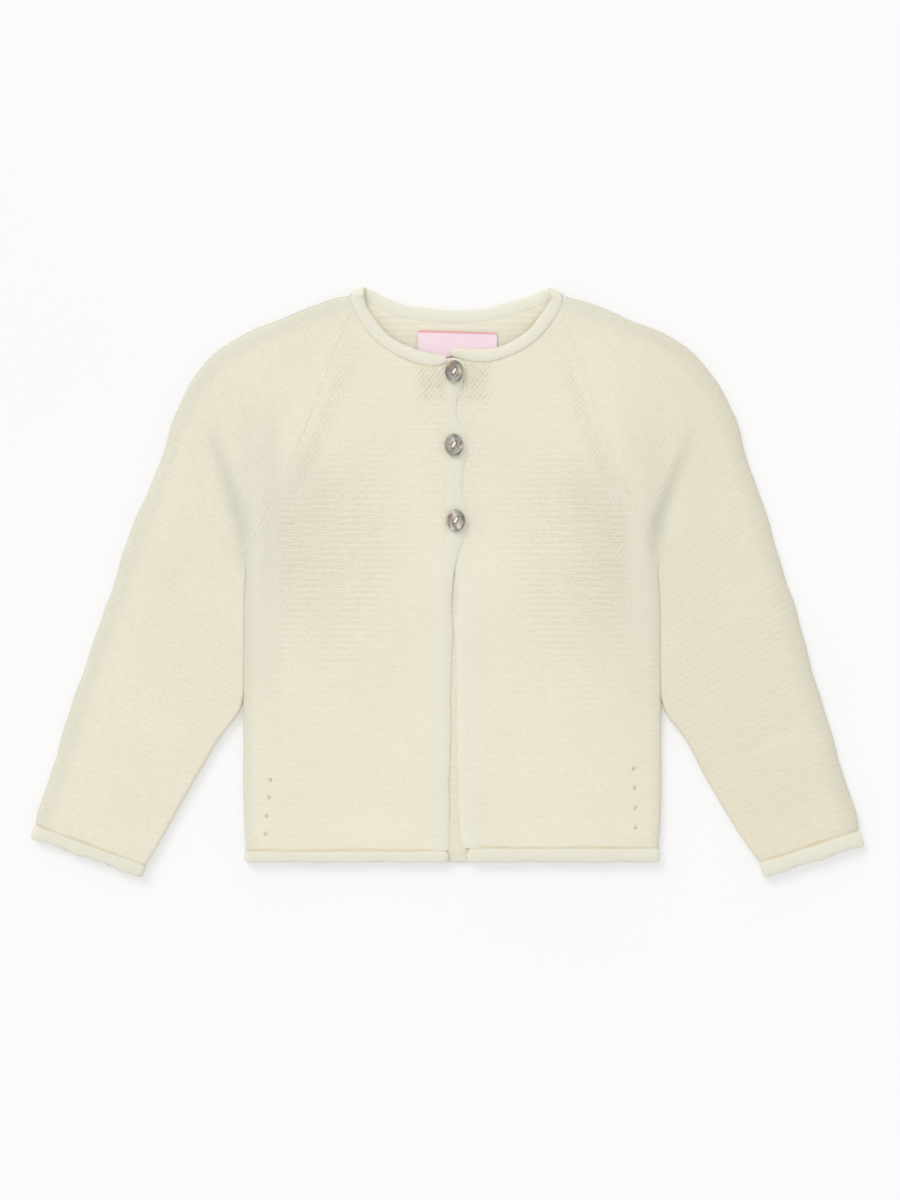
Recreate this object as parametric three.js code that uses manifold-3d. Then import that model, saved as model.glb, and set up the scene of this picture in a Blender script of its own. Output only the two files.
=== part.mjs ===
// Baby cardigan laid flat on its back, in millimetres, +Z up, the hem towards -Y.
// Left and right mean as seen from above, so the left sleeve is the wearer's right one.
import * as THREE from 'three';
import Module from 'manifold-3d';
import { mergeVertices } from 'three/addons/utils/BufferGeometryUtils.js';

const { clamp, lerp, degToRad } = THREE.MathUtils;
const UP = new THREE.Vector3(0, 0, 1);

// Wall thicknesses
const clothWall = 2.2;
const rollWall = 1.5;
const bandWall = 1.8;
const beadWall = 2.3;
const labelWall = 0.6;
const seamGap = 0.3;
const neckSeamGap = 0.45;
const bandSeamGap = 0.44;
const labelGap = 0.6;

// Height of the middle of each layer over the table
const lowerLayer = clothWall / 2;
const upperLayer = 5.0;
const closureOver = 6.3;
const closureUnder = 3.65;

// Rolled edges: bend radius of the middle of the wall, and the lip that comes down again
const hemBend = 1.2;
const neckBend = 1.25;
const rollLip = 1.0;
const lipDrop = 0.35;
const lipAngle = 20;
const rollStart = 0.8;
const hemY = -168.9;
const hemRoll = { left: 6.9, right: 8.6, back: 7.6 };
const cuffRoll = { left: 7.8, right: 9.5 };
const neckRoll = 7.8;
const hemLift = rollWall / 2 + 2 * hemBend - lowerLayer;
const neckLift = rollWall / 2 + 2 * neckBend - lowerLayer;
const upperHemLift = 0.9;
const shoulderLift = 1.25;
const shoulderLiftReach = 24;

// Where the slopes between these heights begin and end
const cuffSlope = { from: 3, to: 24 };
const hemSlope = { from: -160, to: -136 };
const neckSlope = { from: 2, to: 20 };
const closureSlope = { overFrom: -28, overTo: -6, underFrom: 34, underTo: 13, yFrom: -34, yTo: 2 };
const slopeStep = 0.5;

// Panels
const looseStrip = 8;
const raglanGap = 0.17;
const sleeveNeckInset = 0.04;
const neckCurveFrom = { front: 2, back: 3 };
const frontSpread = [0.09, 0.21, 0.36, 0.52, 0.67, 0.8, 0.89, 0.95];
const backSpread = [0.08, 0.2, 0.34, 0.5, 0.66, 0.8, 0.92];
const ringColumns = { upper: 6, lower: 4 };

// Soft troughs (below zero) and ridges of the upper layer, each along a line
const reliefs = [
  { name: 'left armpit valley', from: [-123, 22], to: [-136, 84], width: 7, start: -1.3, end: -0.4 },
  { name: 'right armpit valley', from: [125, 22], to: [141, 88], width: 7, start: -1.3, end: -0.4 },
  { name: 'left side ridge', from: [-110, 62], to: [-113, -20], width: 6, start: 0.5, end: 0.2 },
  { name: 'right side ridge', from: [117, 62], to: [119, -40], width: 6, start: 0.5, end: 0.2 },
  { name: 'left chest hollow', from: [-76, 79], to: [-103, -20], width: 15, start: -0.4, end: -0.4 },
  { name: 'right chest hollow', from: [103, 70], to: [103, -52], width: 14, start: -0.4, end: -0.4 },
  { name: 'left chest', from: [-50, 85], to: [-50, 30], width: 30, start: 0.6, end: 0.5 },
  { name: 'right chest', from: [58, 85], to: [56, 30], width: 30, start: 0.6, end: 0.5 },
  { name: 'left belly', from: [-62, -40], to: [-62, -110], width: 36, start: 0.5, end: 0.4 },
  { name: 'right belly', from: [66, -40], to: [66, -110], width: 36, start: 0.5, end: 0.4 },
  { name: 'left sleeve', from: [-150, 75], to: [-205, -110], width: 24, start: 0.7, end: 0.8 },
  { name: 'right sleeve', from: [156, 75], to: [203, -110], width: 24, start: 0.7, end: 0.8 },
  { name: 'left cap', from: [-96, 138], to: [-132, 112], width: 16, start: 0.4, end: 0.6 },
  { name: 'right cap', from: [104, 138], to: [140, 112], width: 16, start: 0.4, end: 0.6 },
];

// Sleeve rings from cuff to neck: outer fold, inner fold or front raglan edge, back raglan edge,
// and how far the inner edge is folded over (1 closed tube, 0 open at the raglan)
const leftSleeve = [
  { outer: [-247.5, -146.6], inner: [-181.1, -170.8], fold: 1 },
  { outer: [-245.0, -134.5], inner: [-173.6, -158.5], fold: 1 },
  { outer: [-239.5, -117.5], inner: [-165.3, -143.5], fold: 1 },
  { outer: [-230.8, -89.5], inner: [-150.5, -117.5], fold: 1 },
  { outer: [-222.0, -61.5], inner: [-137.0, -95.0], fold: 1 },
  { outer: [-213.0, -36.5], inner: [-125.6, -76.0], fold: 1 },
  { outer: [-203.5, -10.0], inner: [-124.3, -52.0], fold: 1 },
  { outer: [-195.5, 17.0], inner: [-124.2, -28.0], fold: 1 },
  { outer: [-187.8, 36.5], inner: [-123.8, -8.0], fold: 1 },
  { outer: [-180.8, 53.0], inner: [-122.9, 4.0], fold: 1 },
  { outer: [-177.5, 61.0], inner: [-121.9, 10.0], fold: 0.5 },
  { outer: [-174.0, 69.5], inner: [-121.3, 15.6], fold: 0 },
  { outer: [-169.5, 84.5], inner: [-110.5, 36.0], fold: 0 },
  { outer: [-163.4, 100.5], inner: [-101.0, 56.5], fold: 0 },
  { outer: [-156.6, 115.8], inner: [-92.3, 74.0], fold: 0 },
  { outer: [-145.0, 132.6], inner: [-84.5, 92.0], fold: 0 },
  { outer: [-126.0, 146.1], inner: [-76.5, 113.0], back: [-75.5, 114.5], fold: 0 },
  { outer: [-103.0, 156.9], inner: [-68.5, 134.0], back: [-66.5, 137.0], fold: 0 },
  { outer: [-81.0, 165.6], inner: [-61.5, 151.0], back: [-58.0, 154.5], fold: 0 },
  { outer: [-68.5, 169.4], inner: [-58.9, 157.4], back: [-53.3, 162.2], fold: 0 },
];
const rightSleeve = [
  { outer: [246.6, -149.6], inner: [186.9, -168.9], fold: 1 },
  { outer: [245.0, -138.5], inner: [178.9, -158.0], fold: 1 },
  { outer: [239.0, -119.5], inner: [168.3, -141.5], fold: 1 },
  { outer: [230.4, -91.5], inner: [153.6, -116.5], fold: 1 },
  { outer: [222.0, -63.0], inner: [142.5, -95.5], fold: 1 },
  { outer: [214.2, -36.0], inner: [130.9, -76.0], fold: 1 },
  { outer: [206.5, -8.5], inner: [129.5, -52.0], fold: 1 },
  { outer: [198.2, 17.0], inner: [129.4, -28.0], fold: 1 },
  { outer: [192.1, 37.0], inner: [128.9, -8.0], fold: 1 },
  { outer: [187.0, 53.5], inner: [127.8, 4.0], fold: 1 },
  { outer: [184.3, 61.0], inner: [126.8, 10.0], fold: 0.5 },
  { outer: [181.2, 69.5], inner: [126.2, 15.6], fold: 0 },
  { outer: [177.0, 85.0], inner: [116.0, 36.0], fold: 0 },
  { outer: [171.6, 100.5], inner: [107.0, 56.5], fold: 0 },
  { outer: [163.6, 115.6], inner: [99.5, 75.0], fold: 0 },
  { outer: [150.3, 134.4], inner: [92.0, 94.0], fold: 0 },
  { outer: [134.4, 146.2], inner: [85.5, 113.0], back: [84.3, 114.5], fold: 0 },
  { outer: [112.0, 156.2], inner: [79.0, 133.0], back: [76.5, 137.0], fold: 0 },
  { outer: [91.5, 164.9], inner: [72.5, 150.5], back: [66.5, 153.5], fold: 0 },
  { outer: [80.5, 168.3], inner: [69.8, 158.0], back: [61.5, 160.5], fold: 0 },
];
const armpitStation = 11;

// Sides of the body at rows below the armpit, and how far each is folded round to the back
const bodyRows = [
  { y: -157, left: -121.8, right: 126.9, fold: 1 },
  { y: -148, left: -122.6, right: 127.7, fold: 1 },
  { y: -134, left: -123.2, right: 128.3, fold: 1 },
  { y: -116, left: -123.3, right: 128.4, fold: 1 },
  { y: -96, left: -123.3, right: 128.4, fold: 1 },
  { y: -76, left: -123.3, right: 128.4, fold: 1 },
  { y: -56, left: -123.4, right: 128.5, fold: 1 },
  { y: -38, left: -123.4, right: 128.6, fold: 1 },
  { y: -22, left: -123.3, right: 128.6, fold: 1 },
  { y: -8, left: -123.0, right: 128.2, fold: 1 },
  { y: 4, left: -122.2, right: 127.2, fold: 1 },
  { y: 10, left: -121.6, right: 126.5, fold: 0.5 },
  { y: 15.6, left: -121.3, right: 126.2, fold: 0 },
];
const hemSides = { left: -121.4, right: 126.5 };

// Free edge of each front, from the hem up, and the width of its band
const overEdge = [
  { y: -168.9, x: 0.5 }, { y: -150, x: 0.8 }, { y: -95, x: 1.6 }, { y: -30, x: 2.7 },
  { y: 0, x: 3.2 }, { y: 10.8, x: 4.8 }, { y: 18.9, x: 6.6 }, { y: 28.8, x: 10.6 },
  { y: 42.6, x: 11.2 }, { y: 50, x: 9.4 }, { y: 61, x: 9.1 }, { y: 70, x: 9.5 },
  { y: 75.6, x: 10.7 }, { y: 88.8, x: 10.8 }, { y: 94, x: 7.6 }, { y: 99, x: 5.6 },
  { y: 105, x: 5.6 }, { y: 116, x: 8.2 }, { y: 125, x: 9.5 }, { y: 132, x: 9.2 },
  { y: 134.6, x: 7.4 },
];
const overBand = [
  { y: -168.9, x: -7.6 }, { y: -60, x: -6.2 }, { y: 0, x: -4.4 }, { y: 25, x: -1.6 },
  { y: 60, x: -1.0 }, { y: 134.6, x: -1.0 },
];
const underEdge = [
  { y: -168.9, x: 12.4 }, { y: -158.4, x: 8.9 }, { y: -149.4, x: 7.4 }, { y: -125.4, x: 5.7 },
  { y: -95.4, x: 5.1 }, { y: -30, x: 4.2 }, { y: -1, x: 3.7 }, { y: 12, x: 0.4 },
  { y: 26, x: -2.8 }, { y: 45, x: -4.0 }, { y: 132, x: -4.0 },
];
const underBand = [
  { y: -168.9, x: 19.4 }, { y: -158.4, x: 16.6 }, { y: -125.4, x: 13.6 }, { y: -30, x: 12.3 },
  { y: -1, x: 11.4 }, { y: 12, x: 8.6 }, { y: 26, x: 5.6 }, { y: 45, x: 4.6 }, { y: 134, x: 4.6 },
];
const closureRows = [33, 50, 65, 80, 93, 105, 115, 122.5];

// A band's wall near its free edge, in half thicknesses, and its ends
const bandBead = [
  { fromEdge: 3.2, half: bandWall / 2 }, { fromEdge: 2.2, half: beadWall / 2 },
  { fromEdge: 1.2, half: beadWall / 2 }, { fromEdge: 0.4, half: 0.85 }, { fromEdge: 0, half: 0.4 },
];
const bandHemGap = 0.4;
const bandTopRound = { length: 1, share: 0.5 };
const bandRows = [-150, -128, -100, -70, -45, -28, -14, -4, 4, 11, 19, 27, 35, 43, 51, 61, 70, 78, 86,
  92, 98, 105, 113, 121, 128];
const bandTop = { over: 134.6, under: 131.5 };

// Seam of the neck roll, in plan, and the shoulder folds that it crosses
const leftNeck = [
  { x: -1.4, y: 130.3 }, { x: -8.5, y: 128.6 }, { x: -15, y: 129.7 }, { x: -22.6, y: 131.9 },
  { x: -32.5, y: 136.6 }, { x: -42.6, y: 143.7 }, { x: -51.0, y: 153.6 }, { x: -56.6, y: 163.1 },
];
const backNeck = [
  { x: -49.3, y: 168.3 }, { x: -40.4, y: 163.2 }, { x: -30, y: 159.2 }, { x: -15.5, y: 156.4 },
  { x: 4.8, y: 155.2 }, { x: 24.3, y: 156.4 }, { x: 39.5, y: 159.9 }, { x: 56.8, y: 166 },
];
const rightNeck = [
  { x: 67.5, y: 164.3 }, { x: 61.8, y: 154.3 }, { x: 54.2, y: 145.6 }, { x: 46.3, y: 139.6 },
  { x: 36.6, y: 135 }, { x: 28.6, y: 132.5 }, { x: 21.5, y: 131.4 }, { x: 15.5, y: 131.6 },
  { x: 10.6, y: 132.4 },
];
const shoulders = {
  left: { fold: [-58.4, 169.2], towardsNeck: [0.955, 0.297], outward: [-0.297, 0.955], shift: 3.6 },
  right: { fold: [68.9, 168.6], towardsNeck: [-0.947, 0.322], outward: [0.322, 0.947], shift: 3.6 },
};
const foldBend = 1.5;
const backNeckDip = { x: 4.8, y: 155.2, rise: 0.0045 };

// Buttons, two holes along the thread's direction
const buttonPlaces = [[3.8, 125.6], [3.6, 81.5], [4.8, 36.3]];
const buttonSize = { across: 11.4, along: 13.6, thickness: 2.8, clearance: 0.35 };
const buttonProfile = [
  { radius: 0, z: 0 }, { radius: 5.2, z: 0 }, { radius: 6.5, z: 0.9 }, { radius: 6.8, z: 1.6 },
  { radius: 6.3, z: 2.6 }, { radius: 5.5, z: 2.8 }, { radius: 4.4, z: 2.3 }, { radius: 0, z: 2.0 },
];
const holeSize = { radius: 0.85, fromCentre: 1.5, angle: 52 };

// Label inside the back of the neck
const labelArea = { left: -18, right: 29.4, bottom: [136.6, 139.3], top: [150.4, 149] };

// A smooth step from 0 at one value to 1 at another
function ease(from, to, value) {
  const t = clamp((value - from) / (to - from), 0, 1);
  return t * t * (3 - 2 * t);
}

// The x of an edge table at a given y
function edgeX(table, y) {
  const last = table.length - 1;
  const k = clamp(table.findIndex((row) => row.y > y), 1, last);
  const above = y >= table[last].y ? last : k;
  const low = table[above - 1];
  const high = table[above];
  return lerp(low.x, high.x, clamp((y - low.y) / (high.y - low.y), 0, 1));
}

// Height of the creases and the fullness of the upper layer
function reliefHeight(x, y) {
  let height = 0;
  for (const { from, to, width, start, end } of reliefs) {
    const run = [to[0] - from[0], to[1] - from[1]];
    const along = ((x - from[0]) * run[0] + (y - from[1]) * run[1]) / (run[0] ** 2 + run[1] ** 2);
    const t = clamp(along, 0, 1);
    const away = Math.hypot(x - from[0] - t * run[0], y - from[1] - t * run[1]);
    height += lerp(start, end, t) * Math.exp(-((away / width) ** 2));
  }
  return height;
}

// How much the cuff's roll lifts the sleeve, from its first ring
function cuffRise(x, y) {
  const ring = x < 0 ? leftSleeve[0] : rightSleeve[0];
  const chord = new THREE.Vector2(ring.outer[0] - ring.inner[0], ring.outer[1] - ring.inner[1]);
  const inward = new THREE.Vector2(Math.abs(chord.y), Math.abs(chord.x)).normalize();
  inward.x *= x < 0 ? 1 : -1;
  const away = (x - ring.inner[0]) * inward.x + (y - ring.inner[1]) * inward.y;
  return 1 - ease(cuffSlope.from, cuffSlope.to, away);
}

function hemRise(y) {
  return 1 - ease(hemSlope.from, hemSlope.to, y);
}

function lowerZ(x, y) {
  const neckY = backNeckDip.y + backNeckDip.rise * (x - backNeckDip.x) ** 2;
  return lowerLayer + neckLift * (1 - ease(neckSlope.from, neckSlope.to, neckY - y));
}

function upperZ(x, y) {
  const { left, right } = shoulders;
  const fromLeft = Math.hypot(x - left.fold[0], y - left.fold[1]);
  const fromRight = Math.hypot(x - right.fold[0], y - right.fold[1]);
  const shoulder = Math.exp(-((Math.min(fromLeft, fromRight) / shoulderLiftReach) ** 2));
  return upperLayer + reliefHeight(x, y) * (1 - shoulder) + shoulderLift * shoulder;
}

const bodyLowerZ = (x, y) => lowerZ(x, y) + hemLift * hemRise(y);
const bodyUpperZ = (x, y) => upperZ(x, y) + upperHemLift * hemRise(y);
const sleeveLowerZ = (x, y) => lowerZ(x, y) + hemLift * cuffRise(x, y);
const sleeveUpperZ = (x, y) => upperZ(x, y) + upperHemLift * cuffRise(x, y);

// The front that lies on top rises over the other one where they are buttoned
function overFrontZ(x, y) {
  const { overFrom, overTo, yFrom, yTo } = closureSlope;
  return lerp(bodyUpperZ(x, y), closureOver, ease(overFrom, overTo, x) * ease(yFrom, yTo, y));
}

function underFrontZ(x, y) {
  const { underFrom, underTo, yFrom, yTo } = closureSlope;
  return lerp(bodyUpperZ(x, y), closureUnder, ease(underFrom, underTo, x) * ease(yFrom, yTo, y));
}

// The direction straight out of a layer, upwards for side 1 and downwards for side -1
function layerNormal(height, x, y, side) {
  const slopeX = (height(x + slopeStep, y) - height(x - slopeStep, y)) / (2 * slopeStep);
  const slopeY = (height(x, y + slopeStep) - height(x, y - slopeStep)) / (2 * slopeStep);
  return new THREE.Vector3(-slopeX, -slopeY, 1).normalize().multiplyScalar(side);
}

// A strip of cloth that turns away over a radius: share 0 lies flat and share 1 turns 90 degrees
function edgeTurn(share, radius) {
  const fullAngle = share * Math.PI / 2;
  const length = share === 0 ? looseStrip : radius * fullAngle;
  return (part) => {
    const angle = fullAngle * part;
    if (fullAngle === 0) return { reach: length * part, drop: 0, angle };
    const bend = length / fullAngle;
    return { reach: bend * Math.sin(angle), drop: bend * (1 - Math.cos(angle)), angle };
  };
}

// A closed wall from rows of mid-surface places, thickened along their normals.
// In the first closedRows rows the last place is the first one again.
function wallGeometry(rows, closedRows = 0) {
  const places = [];
  const ids = rows.map((row, r) => row.map((place, c) => {
    if (r < closedRows && c === row.length - 1) return places.length - c;
    places.push(place);
    return places.length - 1;
  }));
  const quads = [];
  for (let r = 0; r + 1 < rows.length; r += 1) {
    for (let c = 0; c + 1 < rows[r].length; c += 1) {
      quads.push([ids[r][c], ids[r][c + 1], ids[r + 1][c + 1], ids[r + 1][c]]);
    }
  }
  const count = places.length;
  const positions = [];
  for (const side of [1, -1]) {
    for (const { at, normal, half } of places) {
      const point = at.clone().addScaledVector(normal, side * half);
      positions.push(point.x, point.y, Math.max(point.z, 0));
    }
  }
  const edges = new Set();
  for (const quad of quads) {
    quad.forEach((from, k) => edges.add(`${from} ${quad[(k + 1) % quad.length]}`));
  }
  const index = [];
  for (const quad of quads) {
    const [a, b, c, d] = quad;
    index.push(a, b, c, a, c, d);
    index.push(a + count, c + count, b + count, a + count, d + count, c + count);
    quad.forEach((from, k) => {
      const to = quad[(k + 1) % quad.length];
      if (!edges.has(`${to} ${from}`)) {
        index.push(to, from, from + count, to, from + count, to + count);
      }
    });
  }
  if (signedVolume(positions, index) < 0) index.reverse();
  const geometry = new THREE.BufferGeometry();
  geometry.setAttribute('position', new THREE.Float32BufferAttribute(positions, 3));
  geometry.setIndex(index);
  geometry.computeVertexNormals();
  return geometry;
}

function signedVolume(positions, index) {
  let volume = 0;
  const corner = (k) => new THREE.Vector3().fromArray(positions, 3 * index[k]);
  for (let k = 0; k < index.length; k += 3) {
    volume += corner(k).dot(corner(k + 1).cross(corner(k + 2))) / 6;
  }
  return volume;
}

// The section of a rolled edge beyond its start: along the cloth, up from it, and its turn
function rollSection(width, bend, firstAlong) {
  const run = width - bend - rollWall / 2 - rollLip - rollWall / 2 * Math.sin(degToRad(lipAngle));
  const section = [{ along: firstAlong, up: 0, angle: 0 }, { along: run, up: 0, angle: 0 }];
  for (const degrees of [45, 90, 135, 180]) {
    const angle = degToRad(degrees);
    section.push({ along: run + bend * Math.sin(angle), up: bend * (1 - Math.cos(angle)), angle });
  }
  section.push({ along: 0, up: 2 * bend, angle: Math.PI });
  section.push({ along: -rollLip, up: 2 * bend - lipDrop, angle: Math.PI + degToRad(lipAngle) });
  return section;
}

// Where the rolled edge's start lies, so that the roll ends at the measured edge
function rollStartFromEdge(width) {
  return width - rollLip - rollWall / 2 * Math.sin(degToRad(lipAngle));
}

// Rows that carry a first row on around a rolled edge, the last of them first
function rolledRows(firstRow, outward, width) {
  return rollSection(width, hemBend, rollStart).map(({ along, up, angle }) => (
    firstRow.map(({ at, normal }) => ({
      at: at.clone().addScaledVector(outward, along).addScaledVector(normal, up),
      normal: normal.clone().multiplyScalar(Math.cos(angle)).addScaledVector(outward, -Math.sin(angle)),
      half: rollWall / 2,
    })))).reverse();
}

// The neck seam as a line of frames: place, out of the cloth, and into the cloth
function neckFrames() {
  const flat = (keys, height, side) => {
    const curve = new THREE.CatmullRomCurve3(keys.map(({ x, y }) => new THREE.Vector3(x, y, 0)));
    return curve.getPoints(2 * (keys.length - 1)).map(({ x, y }) => ({
      at: new THREE.Vector3(x, y, height(x, y)), out: layerNormal(height, x, y, side),
    }));
  };
  const point = ([x, y]) => ({ x, y });
  const foldEnds = ({ fold, towardsNeck, shift }) => ({
    front: point(fold), back: point(fold.map((value, k) => value + towardsNeck[k] * shift)),
  });
  const turn = ({ fold, towardsNeck, outward, shift }) => [45, 0, -45].map((degrees) => {
    const angle = degToRad(degrees);
    const [across, up] = [Math.cos(angle), Math.sin(angle)];
    const out = new THREE.Vector3(outward[0] * across, outward[1] * across, up);
    const along = shift * (90 - degrees) / 180;
    const [x, y] = fold.map((value, k) => value + towardsNeck[k] * along);
    const middle = (upperLayer + shoulderLift + lowerLayer + neckLift) / 2;
    return { at: new THREE.Vector3(x, y, middle).addScaledVector(out, foldBend), out };
  });
  const left = foldEnds(shoulders.left);
  const right = foldEnds(shoulders.right);
  const leftFront = flat([...leftNeck, left.front], overFrontZ, 1);
  const back = flat([left.back, ...backNeck, right.back], lowerZ, -1);
  const rightFront = flat([right.front, ...rightNeck], underFrontZ, 1);
  const leftTurn = turn(shoulders.left);
  const rightTurn = turn(shoulders.right).reverse();
  const frames = [...leftFront, ...leftTurn, ...back, ...rightTurn, ...rightFront];
  const backStart = leftFront.length + leftTurn.length;
  const rightStart = backStart + back.length + rightTurn.length;
  const marks = {
    leftRaglan: leftFront.length - 3,
    leftFold: leftFront.length - 1,
    leftBackFold: backStart,
    leftBackRaglan: backStart + 2,
    rightBackRaglan: backStart + back.length - 3,
    rightBackFold: backStart + back.length - 1,
    rightFold: rightStart,
    rightRaglan: rightStart + 2,
    end: frames.length - 1,
  };
  frames.forEach((frame, k) => {
    const before = frames[Math.max(k - 1, 0)].at;
    const after = frames[Math.min(k + 1, frames.length - 1)].at;
    const forward = after.clone().sub(before).normalize();
    frame.out.addScaledVector(forward, -frame.out.dot(forward)).normalize();
    frame.into = frame.out.clone().cross(forward);
  });
  return { frames, marks };
}

const neck = neckFrames();

// A place on the neck seam between two of its frames
function neckPlace(position) {
  const k = Math.min(Math.floor(position), neck.frames.length - 2);
  const [low, high] = [neck.frames[k], neck.frames[k + 1]];
  const t = position - k;
  const normal = low.out.clone().lerp(high.out, t).normalize();
  return { at: low.at.clone().lerp(high.at, t), normal };
}

// One row of a panel. Each end has its place, how far it is folded, and whether it can fold.
function panelRow({ left, right, bulge = 0, top = null }, spread, height, side) {
  const from = new THREE.Vector2(...left.at);
  const to = new THREE.Vector2(...right.at);
  const length = from.distanceTo(to);
  const inwards = to.clone().sub(from).normalize();
  const half = clothWall / 2;
  const ends = [left, right].map(({ at, fold, gap = 0, canFold }) => {
    if (!canFold) return { start: gap, parts: [], turn: null };
    const [x, y] = at;
    const radius = (bodyUpperZ(x, y) - bodyLowerZ(x, y)) / 2 - seamGap / 2;
    const turn = edgeTurn(fold, radius);
    const { reach, angle } = turn(1);
    return { start: gap + reach + half * Math.sin(angle), parts: [1, 0.5], turn };
  });
  const place = (distance, towards, angle, drop) => {
    const u = distance / length;
    const flat = from.clone().lerp(to, u);
    if (bulge > 0) {
      const straight = new THREE.Vector2().lerpVectors(top(0), top(1), u);
      flat.addScaledVector(top(u).sub(straight), bulge);
    }
    const normal = layerNormal(height, flat.x, flat.y, side).multiplyScalar(Math.cos(angle));
    normal.x += towards.x * Math.sin(angle);
    normal.y += towards.y * Math.sin(angle);
    const z = height(flat.x, flat.y) - side * drop;
    return { at: new THREE.Vector3(flat.x, flat.y, z), normal, half };
  };
  const row = [];
  const outLeft = inwards.clone().negate();
  for (const part of ends[0].parts) {
    const { reach, drop, angle } = ends[0].turn(part);
    row.push(place(ends[0].start - reach, outLeft, angle, drop));
  }
  const last = length - ends[1].start;
  for (const t of [0, ...spread, 1]) row.push(place(lerp(ends[0].start, last, t), inwards, 0, 0));
  for (const part of ends[1].parts.toReversed()) {
    const { reach, drop, angle } = ends[1].turn(part);
    row.push(place(last + reach, inwards, angle, drop));
  }
  return row;
}

// Part of the neck seam in plan, from 0 at its left end to 1 at its right end
function neckStretch(first, last) {
  return (u) => {
    const { at } = neckPlace(lerp(first, last, u));
    return new THREE.Vector2(at.x, at.y);
  };
}

const outOfHem = new THREE.Vector3(0, -1, 0);

// A front from its hem up: its rows run from the side or raglan to the seam of its band
function frontGeometry({ sideName, sleeve, height, band, edge, roll, top }) {
  const isLeft = sideName === 'left';
  const spread = isLeft ? frontSpread : frontSpread.map((t) => 1 - t).reverse();
  const bandGap = isLeft ? -bandSeamGap / 2 : bandSeamGap / 2;
  const makeRow = (side, inside, fold, gap, bulge) => {
    const outer = { at: side, fold, gap, canFold: true };
    const inner = { at: inside, canFold: false };
    const ends = isLeft ? { left: outer, right: inner } : { left: inner, right: outer };
    return panelRow({ ...ends, bulge, top }, spread, height, 1);
  };
  const startY = hemY + rollStartFromEdge(roll);
  const bandX = (y) => edgeX(band, y) + bandGap;
  const first = makeRow([hemSides[sideName], startY], [bandX(startY), startY], 1, 0, 0);
  const rolled = rolledRows(first, outOfHem, roll);
  for (const row of rolled) {
    const end = row[isLeft ? row.length - 1 : 0].at;
    end.x = edgeX(edge, end.y);
  }
  const rows = [...rolled, first];
  for (const row of bodyRows) {
    const gap = raglanGap * (1 - row.fold);
    rows.push(makeRow([row[sideName], row.y], [bandX(row.y), row.y], row.fold, gap, 0));
  }
  const raglan = sleeve.slice(armpitStation + 1).map(({ inner }) => inner);
  raglan.forEach((side, k) => {
    const y = closureRows[k];
    const bulge = ease(neckCurveFrom.front, closureRows.length + 1, k + 1);
    rows.push(makeRow(side, [bandX(y), y], 0, raglanGap, bulge));
  });
  const ends = [top(0).toArray(), top(1).toArray()];
  const [side, inside] = isLeft ? ends : ends.reverse();
  rows.push(makeRow(side, inside, 0, raglanGap, 1));
  return wallGeometry(rows);
}

function backGeometry() {
  const top = neckStretch(neck.marks.leftBackRaglan, neck.marks.rightBackRaglan);
  const makeRow = (left, right, fold, gap, bulge) => panelRow({
    left: { at: left, fold, gap, canFold: true },
    right: { at: right, fold, gap, canFold: true },
    bulge,
    top,
  }, backSpread, bodyLowerZ, -1);
  const startY = hemY + rollStartFromEdge(hemRoll.back);
  const first = makeRow([hemSides.left, startY], [hemSides.right, startY], 1, 0, 0);
  const rows = [...rolledRows(first, outOfHem, hemRoll.back), first];
  for (const { y, left, right, fold } of bodyRows) {
    rows.push(makeRow([left, y], [right, y], fold, raglanGap * (1 - fold), 0));
  }
  const rightRows = rightSleeve.slice(armpitStation + 1);
  leftSleeve.slice(armpitStation + 1).forEach((row, k) => {
    const right = rightRows[k];
    const bulge = ease(neckCurveFrom.back, rightRows.length + 1, k + 1);
    rows.push(makeRow(row.back ?? row.inner, right.back ?? right.inner, 0, raglanGap, bulge));
  });
  rows.push(makeRow(top(0).toArray(), top(1).toArray(), 0, raglanGap, 1));
  return wallGeometry(rows);
}

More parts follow.
